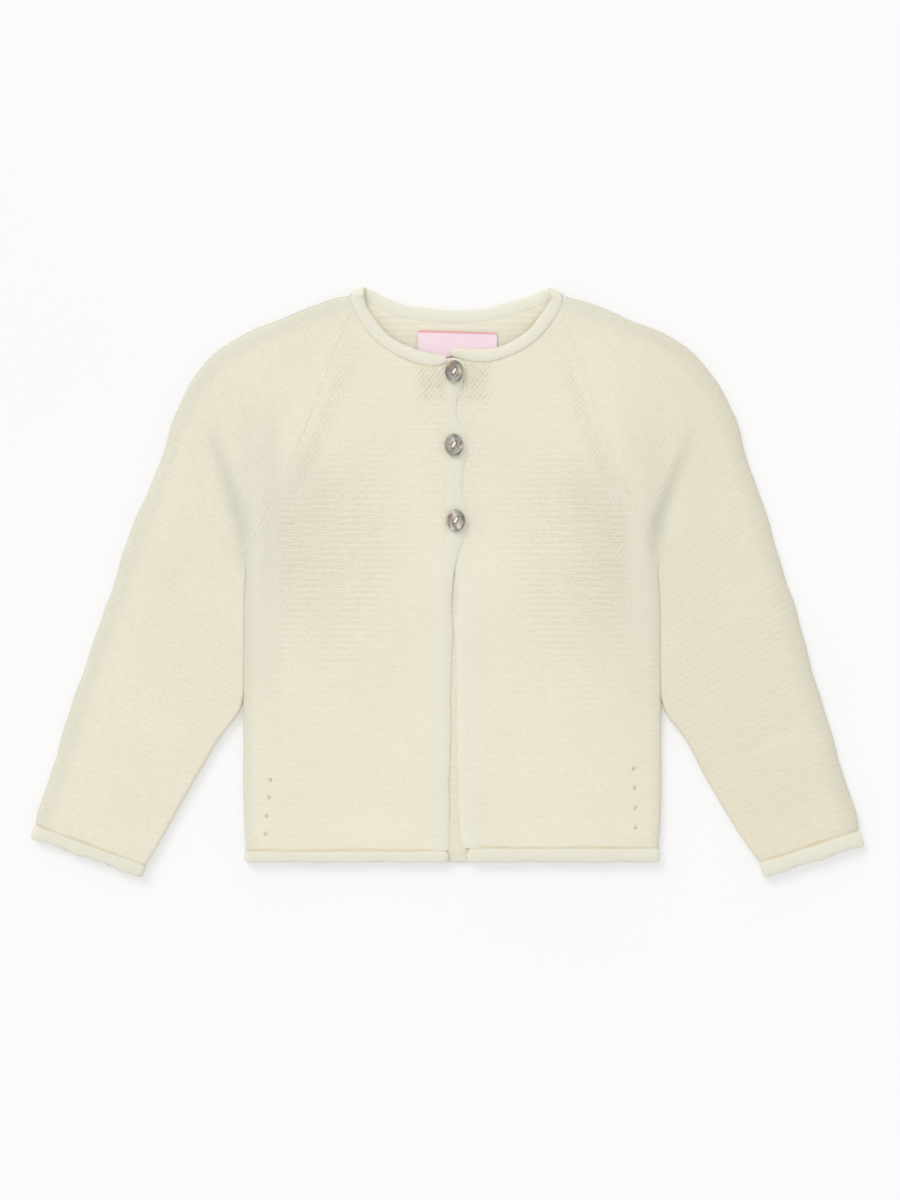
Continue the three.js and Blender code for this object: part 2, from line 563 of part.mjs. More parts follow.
// One ring of a sleeve: inner edge, over the top to the outer fold, and back beneath
function sleeveRing({ outer, inner, back = inner, fold }) {
  const half = clothWall / 2;
  const outerFold = new THREE.Vector2(...outer);
  const layers = [
    { edge: new THREE.Vector2(...inner), height: sleeveUpperZ, side: 1, columns: ringColumns.upper },
    { edge: new THREE.Vector2(...back), height: sleeveLowerZ, side: -1, columns: ringColumns.lower },
  ];
  const gapAt = (point) => (sleeveUpperZ(point.x, point.y) - sleeveLowerZ(point.x, point.y)) / 2;
  const outerRadius = gapAt(outerFold);
  const middle = (sleeveUpperZ(outer[0], outer[1]) + sleeveLowerZ(outer[0], outer[1])) / 2;
  const edgeGap = raglanGap * (1 - fold);
  const halves = layers.map(({ edge, height, side, columns }) => {
    const away = outerFold.clone().sub(edge).normalize();
    const turn = edgeTurn(fold, gapAt(edge));
    const whole = turn(1);
    const startGap = edgeGap + whole.reach + half * Math.sin(whole.angle);
    const flatStart = edge.clone().addScaledVector(away, startGap);
    const flatEnd = outerFold.clone().addScaledVector(away, -half - outerRadius);
    const places = [];
    for (const part of [1, 0.5]) {
      const { reach, drop, angle } = turn(part);
      const flat = flatStart.clone().addScaledVector(away, -reach);
      const normal = layerNormal(height, flat.x, flat.y, side).multiplyScalar(Math.cos(angle));
      normal.x -= away.x * Math.sin(angle);
      normal.y -= away.y * Math.sin(angle);
      const z = height(flat.x, flat.y) - side * drop;
      places.push({ at: new THREE.Vector3(flat.x, flat.y, z), normal, half });
    }
    for (let c = 0; c < columns; c += 1) {
      const flat = flatStart.clone().lerp(flatEnd, c / columns);
      const at = new THREE.Vector3(flat.x, flat.y, height(flat.x, flat.y));
      places.push({ at, normal: layerNormal(height, flat.x, flat.y, side), half });
    }
    for (const degrees of [90, 45]) {
      const angle = degToRad(degrees);
      const across = Math.cos(angle);
      const normal = new THREE.Vector3(away.x * across, away.y * across, side * Math.sin(angle));
      const at = new THREE.Vector3(flatEnd.x, flatEnd.y, middle).addScaledVector(normal, outerRadius);
      places.push({ at, normal, half });
    }
    return { places, away };
  });
  const outward = halves[0].away.clone().add(halves[1].away).normalize();
  const tip = outerFold.addScaledVector(outward, -half);
  const tipPlace = {
    at: new THREE.Vector3(tip.x, tip.y, middle), normal: new THREE.Vector3(outward.x, outward.y, 0), half,
  };
  return [...halves[0].places, tipPlace, ...halves[1].places.reverse()];
}

function sleeveGeometry(stations, roll, marks) {
  const rings = stations.map(sleeveRing);
  const { outer, inner } = stations[0];
  const chord = new THREE.Vector3(outer[0] - inner[0], outer[1] - inner[1], 0).normalize();
  const outward = chord.clone().cross(UP);
  if (outward.y > 0) outward.negate();
  const upperCount = ringColumns.upper + 3;
  const lowerCount = ringColumns.lower + 3;
  const neckRing = [];
  const inset = sleeveNeckInset * Math.sign(marks.fold - marks.front);
  for (let c = 0; c < upperCount; c += 1) {
    neckRing.push(neckPlace(lerp(marks.front + inset, marks.fold, c / upperCount)));
  }
  for (let c = 0; c < 5; c += 1) {
    neckRing.push(neckPlace(lerp(marks.fold, marks.backFold, c / 4)));
  }
  for (let c = 1; c <= lowerCount; c += 1) {
    neckRing.push(neckPlace(lerp(marks.backFold, marks.back - inset, c / lowerCount)));
  }
  for (const place of neckRing) place.half = clothWall / 2;
  const rows = [...rolledRows(rings[0], outward, roll), ...rings, neckRing.slice(0, rings[0].length)];
  const closedRings = stations.filter(({ fold }) => fold === 1).length;
  return wallGeometry(rows, closedRings + rows.length - rings.length - 1);
}

// The smooth band along a front's free edge, with a thicker bead at the edge itself
function bandGeometry({ band, edge, height, roll, topY }) {
  const startY = hemY + rollStartFromEdge(roll) + bandHemGap;
  const levels = [startY, ...bandRows, topY - bandTopRound.length, topY];
  const outwards = Math.sign(edgeX(edge, 0) - edgeX(band, 0));
  const rows = levels.map((y) => {
    const seam = edgeX(band, y) + outwards * bandSeamGap / 2;
    const tuck = y === topY ? bandTopRound.share : 1;
    const end = edgeX(edge, y);
    const bead = bandBead.map(({ fromEdge, half }) => ({ x: end - outwards * fromEdge, half }));
    const flat = [seam, (seam + bead[0].x) / 2].map((x) => ({ x, half: bandWall / 2 }));
    const across = [...flat, ...bead];
    return across.map(({ x, half }) => ({
      at: new THREE.Vector3(x, y, height(x, y)), normal: layerNormal(height, x, y, 1), half: half * tuck,
    }));
  });
  return wallGeometry(rows);
}

// The rolled edge around the neck, one section carried along the whole seam
function neckRollGeometry() {
  const section = rollSection(neckRoll, neckBend, neckSeamGap);
  const rows = neck.frames.map(({ at, out, into }) => section.map(({ along, up, angle }) => ({
    at: at.clone().addScaledVector(into, -along).addScaledVector(out, up),
    normal: out.clone().multiplyScalar(Math.cos(angle)).addScaledVector(into, Math.sin(angle)),
    half: rollWall / 2,
  })));
  return wallGeometry(rows);
}

// A thin cloth label on the inside of the back, its right end a little lower
function labelGeometry() {
  const { left, right, bottom, top } = labelArea;
  const rows = [0, 0.5, 1].map((v) => [0, 0.2, 0.4, 0.6, 0.8, 1].map((u) => {
    const x = lerp(left, right, u);
    const y = lerp(lerp(...bottom, u), lerp(...top, u), v);
    const z = bodyLowerZ(x, y) + clothWall / 2 + labelGap + labelWall / 2;
    const normal = layerNormal(bodyLowerZ, x, y, 1);
    return { at: new THREE.Vector3(x, y, z), normal, half: labelWall / 2 };
  }));
  return wallGeometry(rows);
}

// Boolean cut of closed meshes
const wasm = await Module();
wasm.setup();

function toSolid(geometry) {
  const bare = geometry.clone();
  bare.deleteAttribute('normal');
  bare.deleteAttribute('uv');
  const merged = mergeVertices(bare, 1e-5);
  const vertProperties = new Float32Array(merged.attributes.position.array);
  const triVerts = new Uint32Array(merged.index.array);
  return new wasm.Manifold(new wasm.Mesh({ numProp: 3, vertProperties, triVerts }));
}

function toGeometry(solid) {
  const { vertProperties, triVerts } = solid.getMesh();
  const geometry = new THREE.BufferGeometry();
  geometry.setAttribute('position', new THREE.Float32BufferAttribute(vertProperties, 3));
  geometry.setIndex(Array.from(triVerts));
  geometry.computeVertexNormals();
  return geometry;
}

// A round shell button with a raised rim and two holes, set a little longer than wide
function buttonGeometry() {
  const profile = buttonProfile.map(({ radius, z }) => new THREE.Vector2(radius, z));
  const disc = new THREE.LatheGeometry(profile, 20);
  disc.rotateX(Math.PI / 2);
  let solid = toSolid(disc);
  for (const side of [1, -1]) {
    const angle = degToRad(holeSize.angle);
    const { radius, fromCentre } = holeSize;
    const hole = new THREE.CylinderGeometry(radius, radius, 3 * buttonSize.thickness, 8);
    hole.rotateX(Math.PI / 2);
    hole.translate(side * fromCentre * Math.cos(angle), side * fromCentre * Math.sin(angle), 0);
    solid = solid.subtract(toSolid(hole));
  }
  const geometry = toGeometry(solid);
  geometry.scale(buttonSize.across / buttonSize.along, 1, 1);
  return geometry;
}

const wool = (color) => new THREE.MeshStandardMaterial({ color, roughness: 0.95, metalness: 0 });
const materials = {
  garter: wool(0xeae6d3),
  smooth: wool(0xebe8da),
  shell: new THREE.MeshStandardMaterial({ color: 0x9c948c, roughness: 0.3, metalness: 0 }),
  label: new THREE.MeshStandardMaterial({ color: 0xf3dbe6, roughness: 0.8, metalness: 0 }),
};

const cardigan = new THREE.Group();

function addPiece(name, geometry, material) {
  const mesh = new THREE.Mesh(geometry, material.clone());
  mesh.name = name;
  cardigan.add(mesh);
  return mesh;
}

const { marks } = neck;
const leftTop = neckStretch(marks.leftRaglan, 0);
const rightTop = neckStretch(marks.end, marks.rightRaglan);

addPiece('back', backGeometry(), materials.garter);
addPiece('front_right', frontGeometry({
  sideName: 'left', sleeve: leftSleeve, height: overFrontZ, band: overBand, edge: overEdge,
  roll: hemRoll.left, top: leftTop,
}), materials.garter);
addPiece('front_left', frontGeometry({
  sideName: 'right', sleeve: rightSleeve, height: underFrontZ, band: underBand, edge: underEdge,
  roll: hemRoll.right, top: rightTop,
}), materials.garter);
addPiece('sleeve_right', sleeveGeometry(leftSleeve, cuffRoll.left, {
  front: marks.leftRaglan, fold: marks.leftFold, backFold: marks.leftBackFold,
  back: marks.leftBackRaglan,
}), materials.garter);
addPiece('sleeve_left', sleeveGeometry(rightSleeve, cuffRoll.right, {
  front: marks.rightRaglan, fold: marks.rightFold, backFold: marks.rightBackFold,
  back: marks.rightBackRaglan,
}), materials.garter);
addPiece('neck_roll', neckRollGeometry(), materials.smooth);
addPiece('band_right', bandGeometry({
  band: overBand, edge: overEdge, height: overFrontZ, roll: hemRoll.left, topY: bandTop.over,
}), materials.smooth);
addPiece('band_left', bandGeometry({
  band: underBand, edge: underEdge, height: underFrontZ, roll: hemRoll.right, topY: bandTop.under,
}), materials.smooth);
buttonPlaces.forEach(([x, y], k) => {
  const button = addPiece(`button_${k + 1}`, buttonGeometry(), materials.shell);
  button.position.set(x, y, closureOver + beadWall / 2 + buttonSize.clearance);
});
addPiece('label', labelGeometry(), materials.label);

// The origin is the middle of the outline, on the table
cardigan.updateMatrixWorld(true);
const bounds = new THREE.Box3().setFromObject(cardigan);
const middle = bounds.getCenter(new THREE.Vector3());
cardigan.position.set(-middle.x, -middle.y, -bounds.min.z);
cardigan.updateMatrixWorld(true);

export default cardigan;
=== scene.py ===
"""Baby cardigan laid flat: its knitted pieces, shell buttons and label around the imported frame."""
import math

import bpy
import numpy as np
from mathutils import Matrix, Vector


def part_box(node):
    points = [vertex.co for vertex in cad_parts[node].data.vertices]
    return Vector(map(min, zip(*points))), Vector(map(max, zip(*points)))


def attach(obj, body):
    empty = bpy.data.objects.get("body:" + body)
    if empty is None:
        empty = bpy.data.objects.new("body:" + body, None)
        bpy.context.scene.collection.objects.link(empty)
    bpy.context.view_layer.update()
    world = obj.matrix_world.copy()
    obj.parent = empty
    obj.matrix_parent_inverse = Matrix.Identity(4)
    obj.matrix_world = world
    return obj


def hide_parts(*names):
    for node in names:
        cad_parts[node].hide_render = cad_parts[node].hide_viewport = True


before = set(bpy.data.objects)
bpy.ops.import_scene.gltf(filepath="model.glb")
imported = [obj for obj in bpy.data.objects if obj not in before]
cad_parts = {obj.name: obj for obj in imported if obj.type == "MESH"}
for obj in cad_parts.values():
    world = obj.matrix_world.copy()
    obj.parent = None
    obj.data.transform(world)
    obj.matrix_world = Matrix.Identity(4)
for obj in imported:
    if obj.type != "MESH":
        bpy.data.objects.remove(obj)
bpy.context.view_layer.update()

# All tables and sizes below are in millimetres, in the plane of the part's drawing.
# The drawing's first button gives the shift to the frame. In names below, left is the drawing's
# -X and right its +X. The pieces' own names go by the wearer, the other way round.
MM = 0.001
BUTTON_PLACES = [(3.8, 125.6), (3.6, 81.5), (4.8, 36.3)]
LOW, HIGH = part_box("button_1")
SHIFT = np.array([
    (LOW.x + HIGH.x) / 2 - BUTTON_PLACES[0][0] * MM,
    (LOW.y + HIGH.y) / 2 - BUTTON_PLACES[0][1] * MM,
    0.0,
])

# Camera, straight above the middle of the photograph
LOOK_AT = (1.2, -11.4)
LENS = 85.0
SENSOR = 36.0
PHOTO_HEIGHT = 720.0
TABLE_TO_CLOTH = 6.0

# Light
SKY_STRENGTH = 0.82
SUN_STRENGTH = 0.92
SUN_SPREAD = math.radians(30)
SUN_TURN = (math.radians(-36), math.radians(-30), 0)
FLOOR_GLOW = 0.34
FLOOR_HALF = 3.0
FLOOR_Z = -0.0001

# Cloth: its wall, the heights of the middle of each layer, and how much they rise
WALL = 2.2
LOWER = 1.1
UPPER = 5.0
CLOSURE_OVER = 5.95
CLOSURE_UNDER = 4.05
HEM_LIFT = 2.05
NECK_LIFT = 2.15
UPPER_HEM_LIFT = 0.9
SHOULDER_LIFT = 1.25
SHOULDER_REACH = 24.0
SLIT = {"x": 4.5, "swell": 2.1, "width": 8}

# Hem, rolled edges, and the rounded edges where the cloth folds: reach in plan and length of arc
HEM_Y = -168.9
FACE_START = HEM_Y + 2.5
FACE_END = 172
HEM_ROLL = {"left": 6.9, "right": 8.6, "back": 7.6}
CUFF_ROLL = {"left": 7.8, "right": 9.5}
NECK_ROLL = 7.8
EDGE_ROUND = 7.0
EDGE_ARC = 8.6
SIDE_ROUND = 2.4
SIDE_ARC = 4.3
FOLD_INSET = 0.5
# Tube of a rolled edge: half height and middle above the cloth's face; below, it reaches the floor
TUBE = (1.75, -0.75)
LOW_TUBE = (2.2, -0.2)
TUBE_SIDES = 30
TUBE_TEXTURE = 18.0

# How far pieces reach under or past each other at seams and folds, and how deep they dip there
SEAM_TUCK = 1.2
SEAM_DIP = 0.45
FRONT_DIP = 0.6
FOLD_LAP = 0.4
LAP_DEPTH = 0.25
NECK_UNDERLAP = 0.8
BAND_DIP = 0.6
INNER_INSET = 1.5

# Knitting: garter ridges and stitches, and how finely they are sampled
RIDGE = 3.75
STITCH = 3.0
ROW_STEP = RIDGE / 6
COLUMN_STEP = STITCH / 4
LOW_COLUMN_STEP = 3.0
SMALLEST_FACE = 2e-3
RELIEF = 0.6
STITCH_SWING = 0.34
ROW_OFFSET = 0.2
ROW_WIDTH = 0.15
SEAM_DOTS = 0.8
SLEEVE_RIDGES = {"left": 0.7, "right": 0.55}
EYELET_DEPTH = 1.3
HEM_CREASE = 0.5
NECK_CREASE = 0.3
# Strength of the painted warm shade in the creases above rolled edges
CREASE_PAINTED_SHADE = 0.45

# Soft troughs (below zero) and ridges of the upper layer: width, then places with a height.
# The first two are the folds that rise from the armpits.
RELIEFS = [
    (4.8, [(-120.8, 10, -0.9), (-122.2, 26, -2.0), (-126.4, 43, -2.6), (-131, 60, -2.2),
           (-136.5, 76, -1.5), (-143, 92, -0.3)]),
    (4.8, [(125.4, 10, -0.9), (125.6, 22, -2.0), (127.5, 36, -2.6), (134, 54, -2.5),
           (141.5, 73, -1.7), (148, 92, -0.3)]),
    (5.5, [(-112, 90, 0.4), (-112, 50, 1.3), (-113, 0, 1.0), (-114, -40, 0.4)]),
    (5.5, [(116, 90, 0.4), (117, 50, 1.3), (119, 0, 0.9), (120, -50, 0.4)]),
    (13.0, [(-76, 84, -0.5), (-84, 60, -1.5), (-94, 20, -1.6), (-100, -20, -0.5)]),
    (12.0, [(104, 80, -0.5), (106, 50, -1.5), (106, 0, -1.4), (105, -52, -0.5)]),
    (26.0, [(-45, 90, 0.5), (-48, 20, 0.8), (-60, -110, 0.4)]),
    (24.0, [(62, 90, 0.5), (66, 20, 0.9), (66, -110, 0.4)]),
    (22.0, [(-96, 138, 0.3), (-145, 90, 0.9), (-160, 50, 1.0), (-205, -110, 0.7)]),
    (22.0, [(104, 138, 0.3), (156, 90, 0.9), (168, 50, 1.0), (206, -110, 0.7)]),
    (5.0, [(-206, -60, 0.0), (-178, -76, -0.6), (-150, -90, 0.0)]),
    (5.0, [(214, -84, 0.0), (190, -96, -0.6), (166, -112, 0.0)]),
    (4.5, [(-216, -100, 0.0), (-190, -112, -0.5), (-170, -118, 0.0)]),
    (6.0, [(150, 20, 0.0), (162, 4, -0.6), (176, -20, 0.0)]),
    (6.0, [(-146, 24, 0.0), (-160, 0, -0.6), (-172, -22, 0.0)]),
    (7.0, [(-30, -136, 0.0), (-66, -142, -0.4), (-100, -138, 0.0)]),
    (7.0, [(34, -140, 0.0), (70, -134, -0.4), (98, -142, 0.0)]),
]

# Rows of the sleeves, from the cuff to the neck: outer fold, then inner fold or raglan line
LEFT_ROWS = [
    ((-247.5, -146.6), (-181.1, -170.8)), ((-245.0, -134.5), (-173.6, -158.5)),
    ((-239.5, -117.5), (-165.3, -143.5)), ((-230.8, -89.5), (-150.5, -117.5)),
    ((-222.0, -61.5), (-137.0, -95.0)), ((-213.0, -36.5), (-123.8, -76.0)),
    ((-203.5, -10.0), (-121.7, -52.0)), ((-195.5, 17.0), (-121.6, -28.0)),
    ((-187.8, 36.5), (-121.3, -8.0)), ((-180.8, 53.0), (-120.7, 4.0)),
    ((-174.0, 69.5), (-121.3, 15.6)), ((-163.4, 100.5), (-110.5, 36.0)),
    ((-145.0, 132.6), (-95.0, 68.6)), ((-126.0, 146.1), (-85.5, 90.0)),
    ((-103.0, 156.9), (-76.5, 113.0)), ((-81.0, 165.6), (-67.0, 138.2)),
    ((-68.5, 169.4), (-60.8, 153.0)), ((-60.5, 170.6), (-57.2, 161.5)),
]
RIGHT_ROWS = [
    ((246.6, -149.6), (186.9, -168.9)), ((245.0, -138.5), (178.9, -158.0)),
    ((239.0, -119.5), (168.3, -141.5)), ((230.4, -91.5), (153.6, -116.5)),
    ((222.0, -63.0), (142.5, -95.5)), ((214.2, -36.0), (129.0, -76.0)),
    ((206.5, -8.5), (126.9, -52.0)), ((198.2, 17.0), (126.9, -28.0)),
    ((192.1, 37.0), (126.4, -8.0)), ((187.0, 53.5), (125.6, 4.0)),
    ((181.2, 69.5), (126.2, 15.6)), ((171.6, 100.5), (114.4, 39.5)),
    ((150.3, 134.4), (99.2, 75.8)), ((134.4, 146.2), (92.0, 94.0)),
    ((112.0, 156.2), (84.0, 117.5)), ((91.5, 164.9), (76.6, 140.0)),
    ((80.5, 168.3), (71.5, 153.5)), ((72.0, 169.8), (68.4, 162.5)),
]
ARMPIT_ROW = 10

# Sides of the body from the hem up, then the raglan lines up to the neck
LEFT_SIDE = [
    (-168.9, -121.4), (-157, -121.8), (-148, -122.6), (-134, -123.2), (-96, -123.3),
    (-38, -123.4), (-8, -123.0), (4, -122.2), (10, -121.6), (15.6, -121.3),
]
RIGHT_SIDE = [
    (-168.9, 126.5), (-157, 126.9), (-148, 127.7), (-134, 128.3), (-96, 128.4),
    (-38, 128.6), (-8, 128.2), (4, 127.2), (10, 126.5), (15.6, 126.2),
]
LEFT_RAGLAN = [
    (15.6, -121.3), (36, -110.5), (56.5, -101), (74, -92.3), (92, -84.5), (113, -76.5),
    (134, -68.5), (151, -61.5), (157.4, -58.9), (163.1, -56.6), (172, -53),
]
RIGHT_RAGLAN = [
    (15.6, 126.2), (36, 116), (56.5, 107), (75, 99.5), (94, 92), (113, 85.5),
    (133, 79), (150.5, 72.5), (158, 69.8), (164.3, 67.5), (172, 64.5),
]
ARMPIT_Y = 15.6
FOLD_BLEND = (2.0, 15.6)

# Free edge of each front and the seam of its band, from the hem up
OVER_EDGE = [
    (-168.9, 0.5), (-150, 0.8), (-95, 1.6), (-30, 2.7), (0, 3.2), (10.8, 4.8), (18.9, 6.6),
    (28.8, 10.6), (42.6, 11.2), (50, 9.4), (61, 9.1), (70, 9.5), (75.6, 10.7), (88.8, 10.8),
    (94, 7.6), (99, 5.6), (105, 5.6), (116, 8.2), (125, 9.5), (132, 9.2), (134.6, 7.4),
]
OVER_BAND = [(-168.9, -7.6), (-60, -6.2), (0, -4.4), (25, -1.6), (60, -1.0), (134.6, -1.0)]
UNDER_EDGE = [
    (-168.9, 12.4), (-158.4, 8.9), (-149.4, 7.4), (-125.4, 5.7), (-95.4, 5.1), (-30, 4.2),
    (-1, 3.7), (12, 0.4), (26, -2.8), (45, -4.0), (132, -4.0),
]
UNDER_BAND = [
    (-168.9, 19.4), (-158.4, 16.6), (-125.4, 13.6), (-30, 12.3), (-1, 11.4), (12, 8.6),
    (26, 5.6), (45, 4.6), (134, 4.6),
]
BAND_TOP = {"over": 134.6, "under": 131.5}

# Seam of the neck roll
LEFT_NECK = [
    (1.0, 131.6), (-2.4, 129.9), (-8.5, 128.8), (-15, 129.7), (-22.6, 131.9), (-32.5, 136.6),
    (-42.6, 143.7), (-51.0, 153.6), (-56.6, 163.1),
]
BACK_NECK = [
    (-49.3, 168.3), (-40.4, 163.2), (-30, 159.2), (-15.5, 156.4), (4.8, 155.2),
    (24.3, 156.4), (39.5, 159.9), (56.8, 166),
]
RIGHT_NECK = [
    (67.5, 164.3), (61.8, 154.3), (54.2, 145.6), (46.3, 139.6), (36.6, 135),
    (28.6, 132.5), (21.5, 131.4), (15.5, 131.6), (10.6, 132.4), (5.0, 134.2), (0.0, 135.6),
]
SHOULDERS = {
    "left": {"fold": (-58.4, 169.2), "towards_neck": (0.955, 0.297), "outward": (-0.297, 0.955)},
    "right": {"fold": (68.9, 168.6), "towards_neck": (-0.947, 0.322), "outward": (0.322, 0.947)},
}
FOLD_SHIFT = 3.6
FOLD_BEND = 1.5
NECK_DIP = {"x": 4.8, "y": 155.2, "rise": 0.0045}

EYELETS = [
    (-106.4, -119.5), (-107.2, -130.1), (-108.7, -141.1), (-109.4, -151.9),
    (111.5, -112.8), (112.1, -124.4), (112.7, -136.3), (112.6, -148.2),
]
# Painted sheen, highlights and shade of the shell buttons: colour, direction in degrees, reach from
# the middle, spread, depth
SHELL_COLOURS = {
    "grey": (0.42, 0.39, 0.33), "dark": (0.17, 0.16, 0.135), "pale": (0.74, 0.71, 0.64),
    "tan": (0.60, 0.42, 0.24), "violet": (0.27, 0.20, 0.22), "cool": (0.40, 0.43, 0.41),
    "white": (0.86, 0.86, 0.84),
}
SHELL_PATCHES = [
    [("pale", 0, 0.5, 34, 0.3), ("dark", 62, 0.92, 40, 0.22), ("tan", 140, 0.95, 30, 0.35),
     ("violet", 180, 0.85, 26, 0.3), ("dark", 205, 0.95, 30, 0.14), ("cool", 250, 0.6, 34, 0.35),
     ("pale", 262, 1.0, 22, 0.2), ("dark", 320, 0.97, 30, 0.14), ("tan", 0, 0.97, 22, 0.12)],
    [("pale", 90, 0.5, 26, 0.5), ("violet", 180, 0.97, 44, 0.2), ("pale", 205, 0.62, 40, 0.24),
     ("dark", 85, 0.9, 18, 0.2), ("cool", 60, 0.75, 26, 0.3), ("dark", 10, 0.72, 20, 0.16),
     ("cool", 295, 0.62, 30, 0.5), ("dark", 300, 0.9, 18, 0.16), ("pale", 345, 0.85, 16, 0.2)],
    [("pale", 110, 0.5, 40, 0.45), ("tan", 180, 0.85, 24, 0.2), ("violet", 150, 0.75, 12, 0.2),
     ("dark", 20, 0.82, 28, 0.22), ("dark", 345, 0.97, 30, 0.12), ("violet", 268, 0.55, 14, 0.4),
     ("white", 245, 0.92, 16, 0.25), ("pale", 300, 0.6, 24, 0.3), ("dark", 285, 0.95, 12, 0.14)],
]
BUTTON = {"across": 11.2, "along": 13.4, "base": 7.6, "lean": math.radians(52)}

# Ends of the label's lower and upper edges, its thickness and its gap to the cloth
LABEL = {"left": -18.0, "right": 29.4, "bottom": (133.6, 136.6), "top": (150.4, 149.0)}
LABEL_THICKNESS = 0.6
LABEL_GAP = 0.45

UP = np.array([0.0, 0.0, 1.0])
HEMWARDS = np.array([0.0, -1.0, 0.0])


def ease(start, end, value):
    """A smooth step from 0 at the start to 1 at the end."""
    t = np.clip((value - start) / (end - start), 0, 1)
    return t * t * (3 - 2 * t)


def smooth_table(rows, at):
    """A smooth curve through the rows of a table, first column against the others."""
    rows = np.array(rows, float)
    x, y = rows[:, 0], rows[:, 1:]
    if x[0] > x[-1]:
        x, y = x[::-1], y[::-1]
    slope = np.gradient(y, x, axis=0)
    at = np.clip(np.asarray(at, float), x[0], x[-1])
    k = np.clip(np.searchsorted(x, at, side="right") - 1, 0, len(x) - 2)
    h = x[k + 1] - x[k]
    t = ((at - x[k]) / h)[..., None]
    h = h[..., None]
    value = ((2 * t**3 - 3 * t**2 + 1) * y[k] + (t**3 - 2 * t**2 + t) * h * slope[k]
             + (3 * t**2 - 2 * t**3) * y[k + 1] + (t**3 - t**2) * h * slope[k + 1])
    return value[..., 0] if value.shape[-1] == 1 else value


def run_length(points):
    """Length of a line up to each of its points."""
    return np.concatenate([[0], np.cumsum(np.linalg.norm(np.diff(points, axis=0), axis=1))])


def smooth_path(points, count):
    """Evenly spaced places on a smooth curve through the points."""
    points = np.array(points, float)
    along = run_length(points)
    table = np.column_stack([along, points])
    fine = smooth_table(table, np.linspace(0, along[-1], 40 * len(points)))
    run = run_length(fine)
    even = np.linspace(0, run[-1], count)
    return np.column_stack([np.interp(even, run, fine[:, k]) for k in range(fine.shape[1])])


def unit(vectors):
    return vectors / np.maximum(np.linalg.norm(vectors, axis=-1, keepdims=True), 1e-9)


def spot(x, y, z):
    return np.stack([x, y, z], axis=-1)


# Heights of the middle of each layer

def fold_line(x, y, points):
    """Distance of each place from a line of points, and the height given at its foot."""
    shape = np.broadcast(x, y).shape
    nearest, level = np.full(shape, 1e9), np.zeros(shape)
    for (x0, y0, low), (x1, y1, high) in zip(points, points[1:]):
        run = np.array([x1 - x0, y1 - y0])
        t = np.clip(((x - x0) * run[0] + (y - y0) * run[1]) / (run @ run), 0, 1)
        away = np.hypot(x - x0 - t * run[0], y - y0 - t * run[1])
        closer = away < nearest
        nearest = np.where(closer, away, nearest)
        level = np.where(closer, low + (high - low) * t, level)
    return nearest, level


def relief_height(x, y):
    height = 0
    for width, points in RELIEFS:
        away, level = fold_line(x, y, points)
        height = height + level * np.exp(-((away / width) ** 2))
    return height


def cuff_rise(x, y):
    rise = 0
    for side, rows in ((-1, LEFT_ROWS), (1, RIGHT_ROWS)):
        outer, inner = np.array(rows[0][0]), np.array(rows[0][1])
        chord = outer - inner
        inward = unit(np.array([-side * abs(chord[1]), abs(chord[0])]))
        away = (x - inner[0]) * inward[0] + (y - inner[1]) * inward[1]
        rise = np.where(np.sign(x) == side, 1 - ease(3, 24, away), rise)
    return rise


def hem_rise(y):
    return 1 - ease(-160, -136, y)


def lower_z(x, y):
    neck_y = NECK_DIP["y"] + NECK_DIP["rise"] * (x - NECK_DIP["x"]) ** 2
    return LOWER + NECK_LIFT * (1 - ease(2, 20, neck_y - y))


def upper_z(x, y):
    away = [np.hypot(x - s["fold"][0], y - s["fold"][1]) for s in SHOULDERS.values()]
    shoulder = np.exp(-((np.minimum(*away) / SHOULDER_REACH) ** 2))
    return UPPER + relief_height(x, y) * (1 - shoulder) + SHOULDER_LIFT * shoulder


def body_lower_z(x, y):
    return lower_z(x, y) + HEM_LIFT * hem_rise(y)


def body_upper_z(x, y):
    return upper_z(x, y) + UPPER_HEM_LIFT * hem_rise(y)


def body_middle(x, y):
    """Height between the back and the fronts, where the side folds meet."""
    return (body_upper_z(x, y) + body_lower_z(x, y)) / 2


def slit_rise(x, y):
    """The back swells up into the slit between the fronts."""
    swell = SLIT["swell"] * np.exp(-(((x - SLIT["x"]) / SLIT["width"]) ** 2))
    return swell * ease(22, 0, y) * (1 - 0.5 * hem_rise(y))


def sleeve_lower_z(x, y):
    return lower_z(x, y) + HEM_LIFT * cuff_rise(x, y)


def sleeve_upper_z(x, y):
    return upper_z(x, y) + UPPER_HEM_LIFT * cuff_rise(x, y)


def over_front_z(x, y):
    share = ease(-28, -6, x) * ease(-34, 2, y)
    return body_upper_z(x, y) * (1 - share) + CLOSURE_OVER * share


def under_front_z(x, y):
    share = ease(34, 13, x) * ease(-34, 2, y)
    return body_upper_z(x, y) * (1 - share) + CLOSURE_UNDER * share


# Knitted relief

def uneven(column, row):
    """A steady pseudo-random value from 0 to 1 for each stitch."""
    mixed = np.sin(column * 12.9898 + row * 78.233) * 43758.5453
    return mixed - np.floor(mixed)


def moss_dots(u, v):
    """Height of moss stitch: a chequerboard of bumps."""
    size = 0.7 + 0.6 * uneven(np.floor(u / STITCH + 0.25), np.floor(v / RIDGE + 0.25))
    return 0.5 * size * np.cos(2 * np.pi * u / STITCH) * np.cos(2 * np.pi * v / RIDGE)


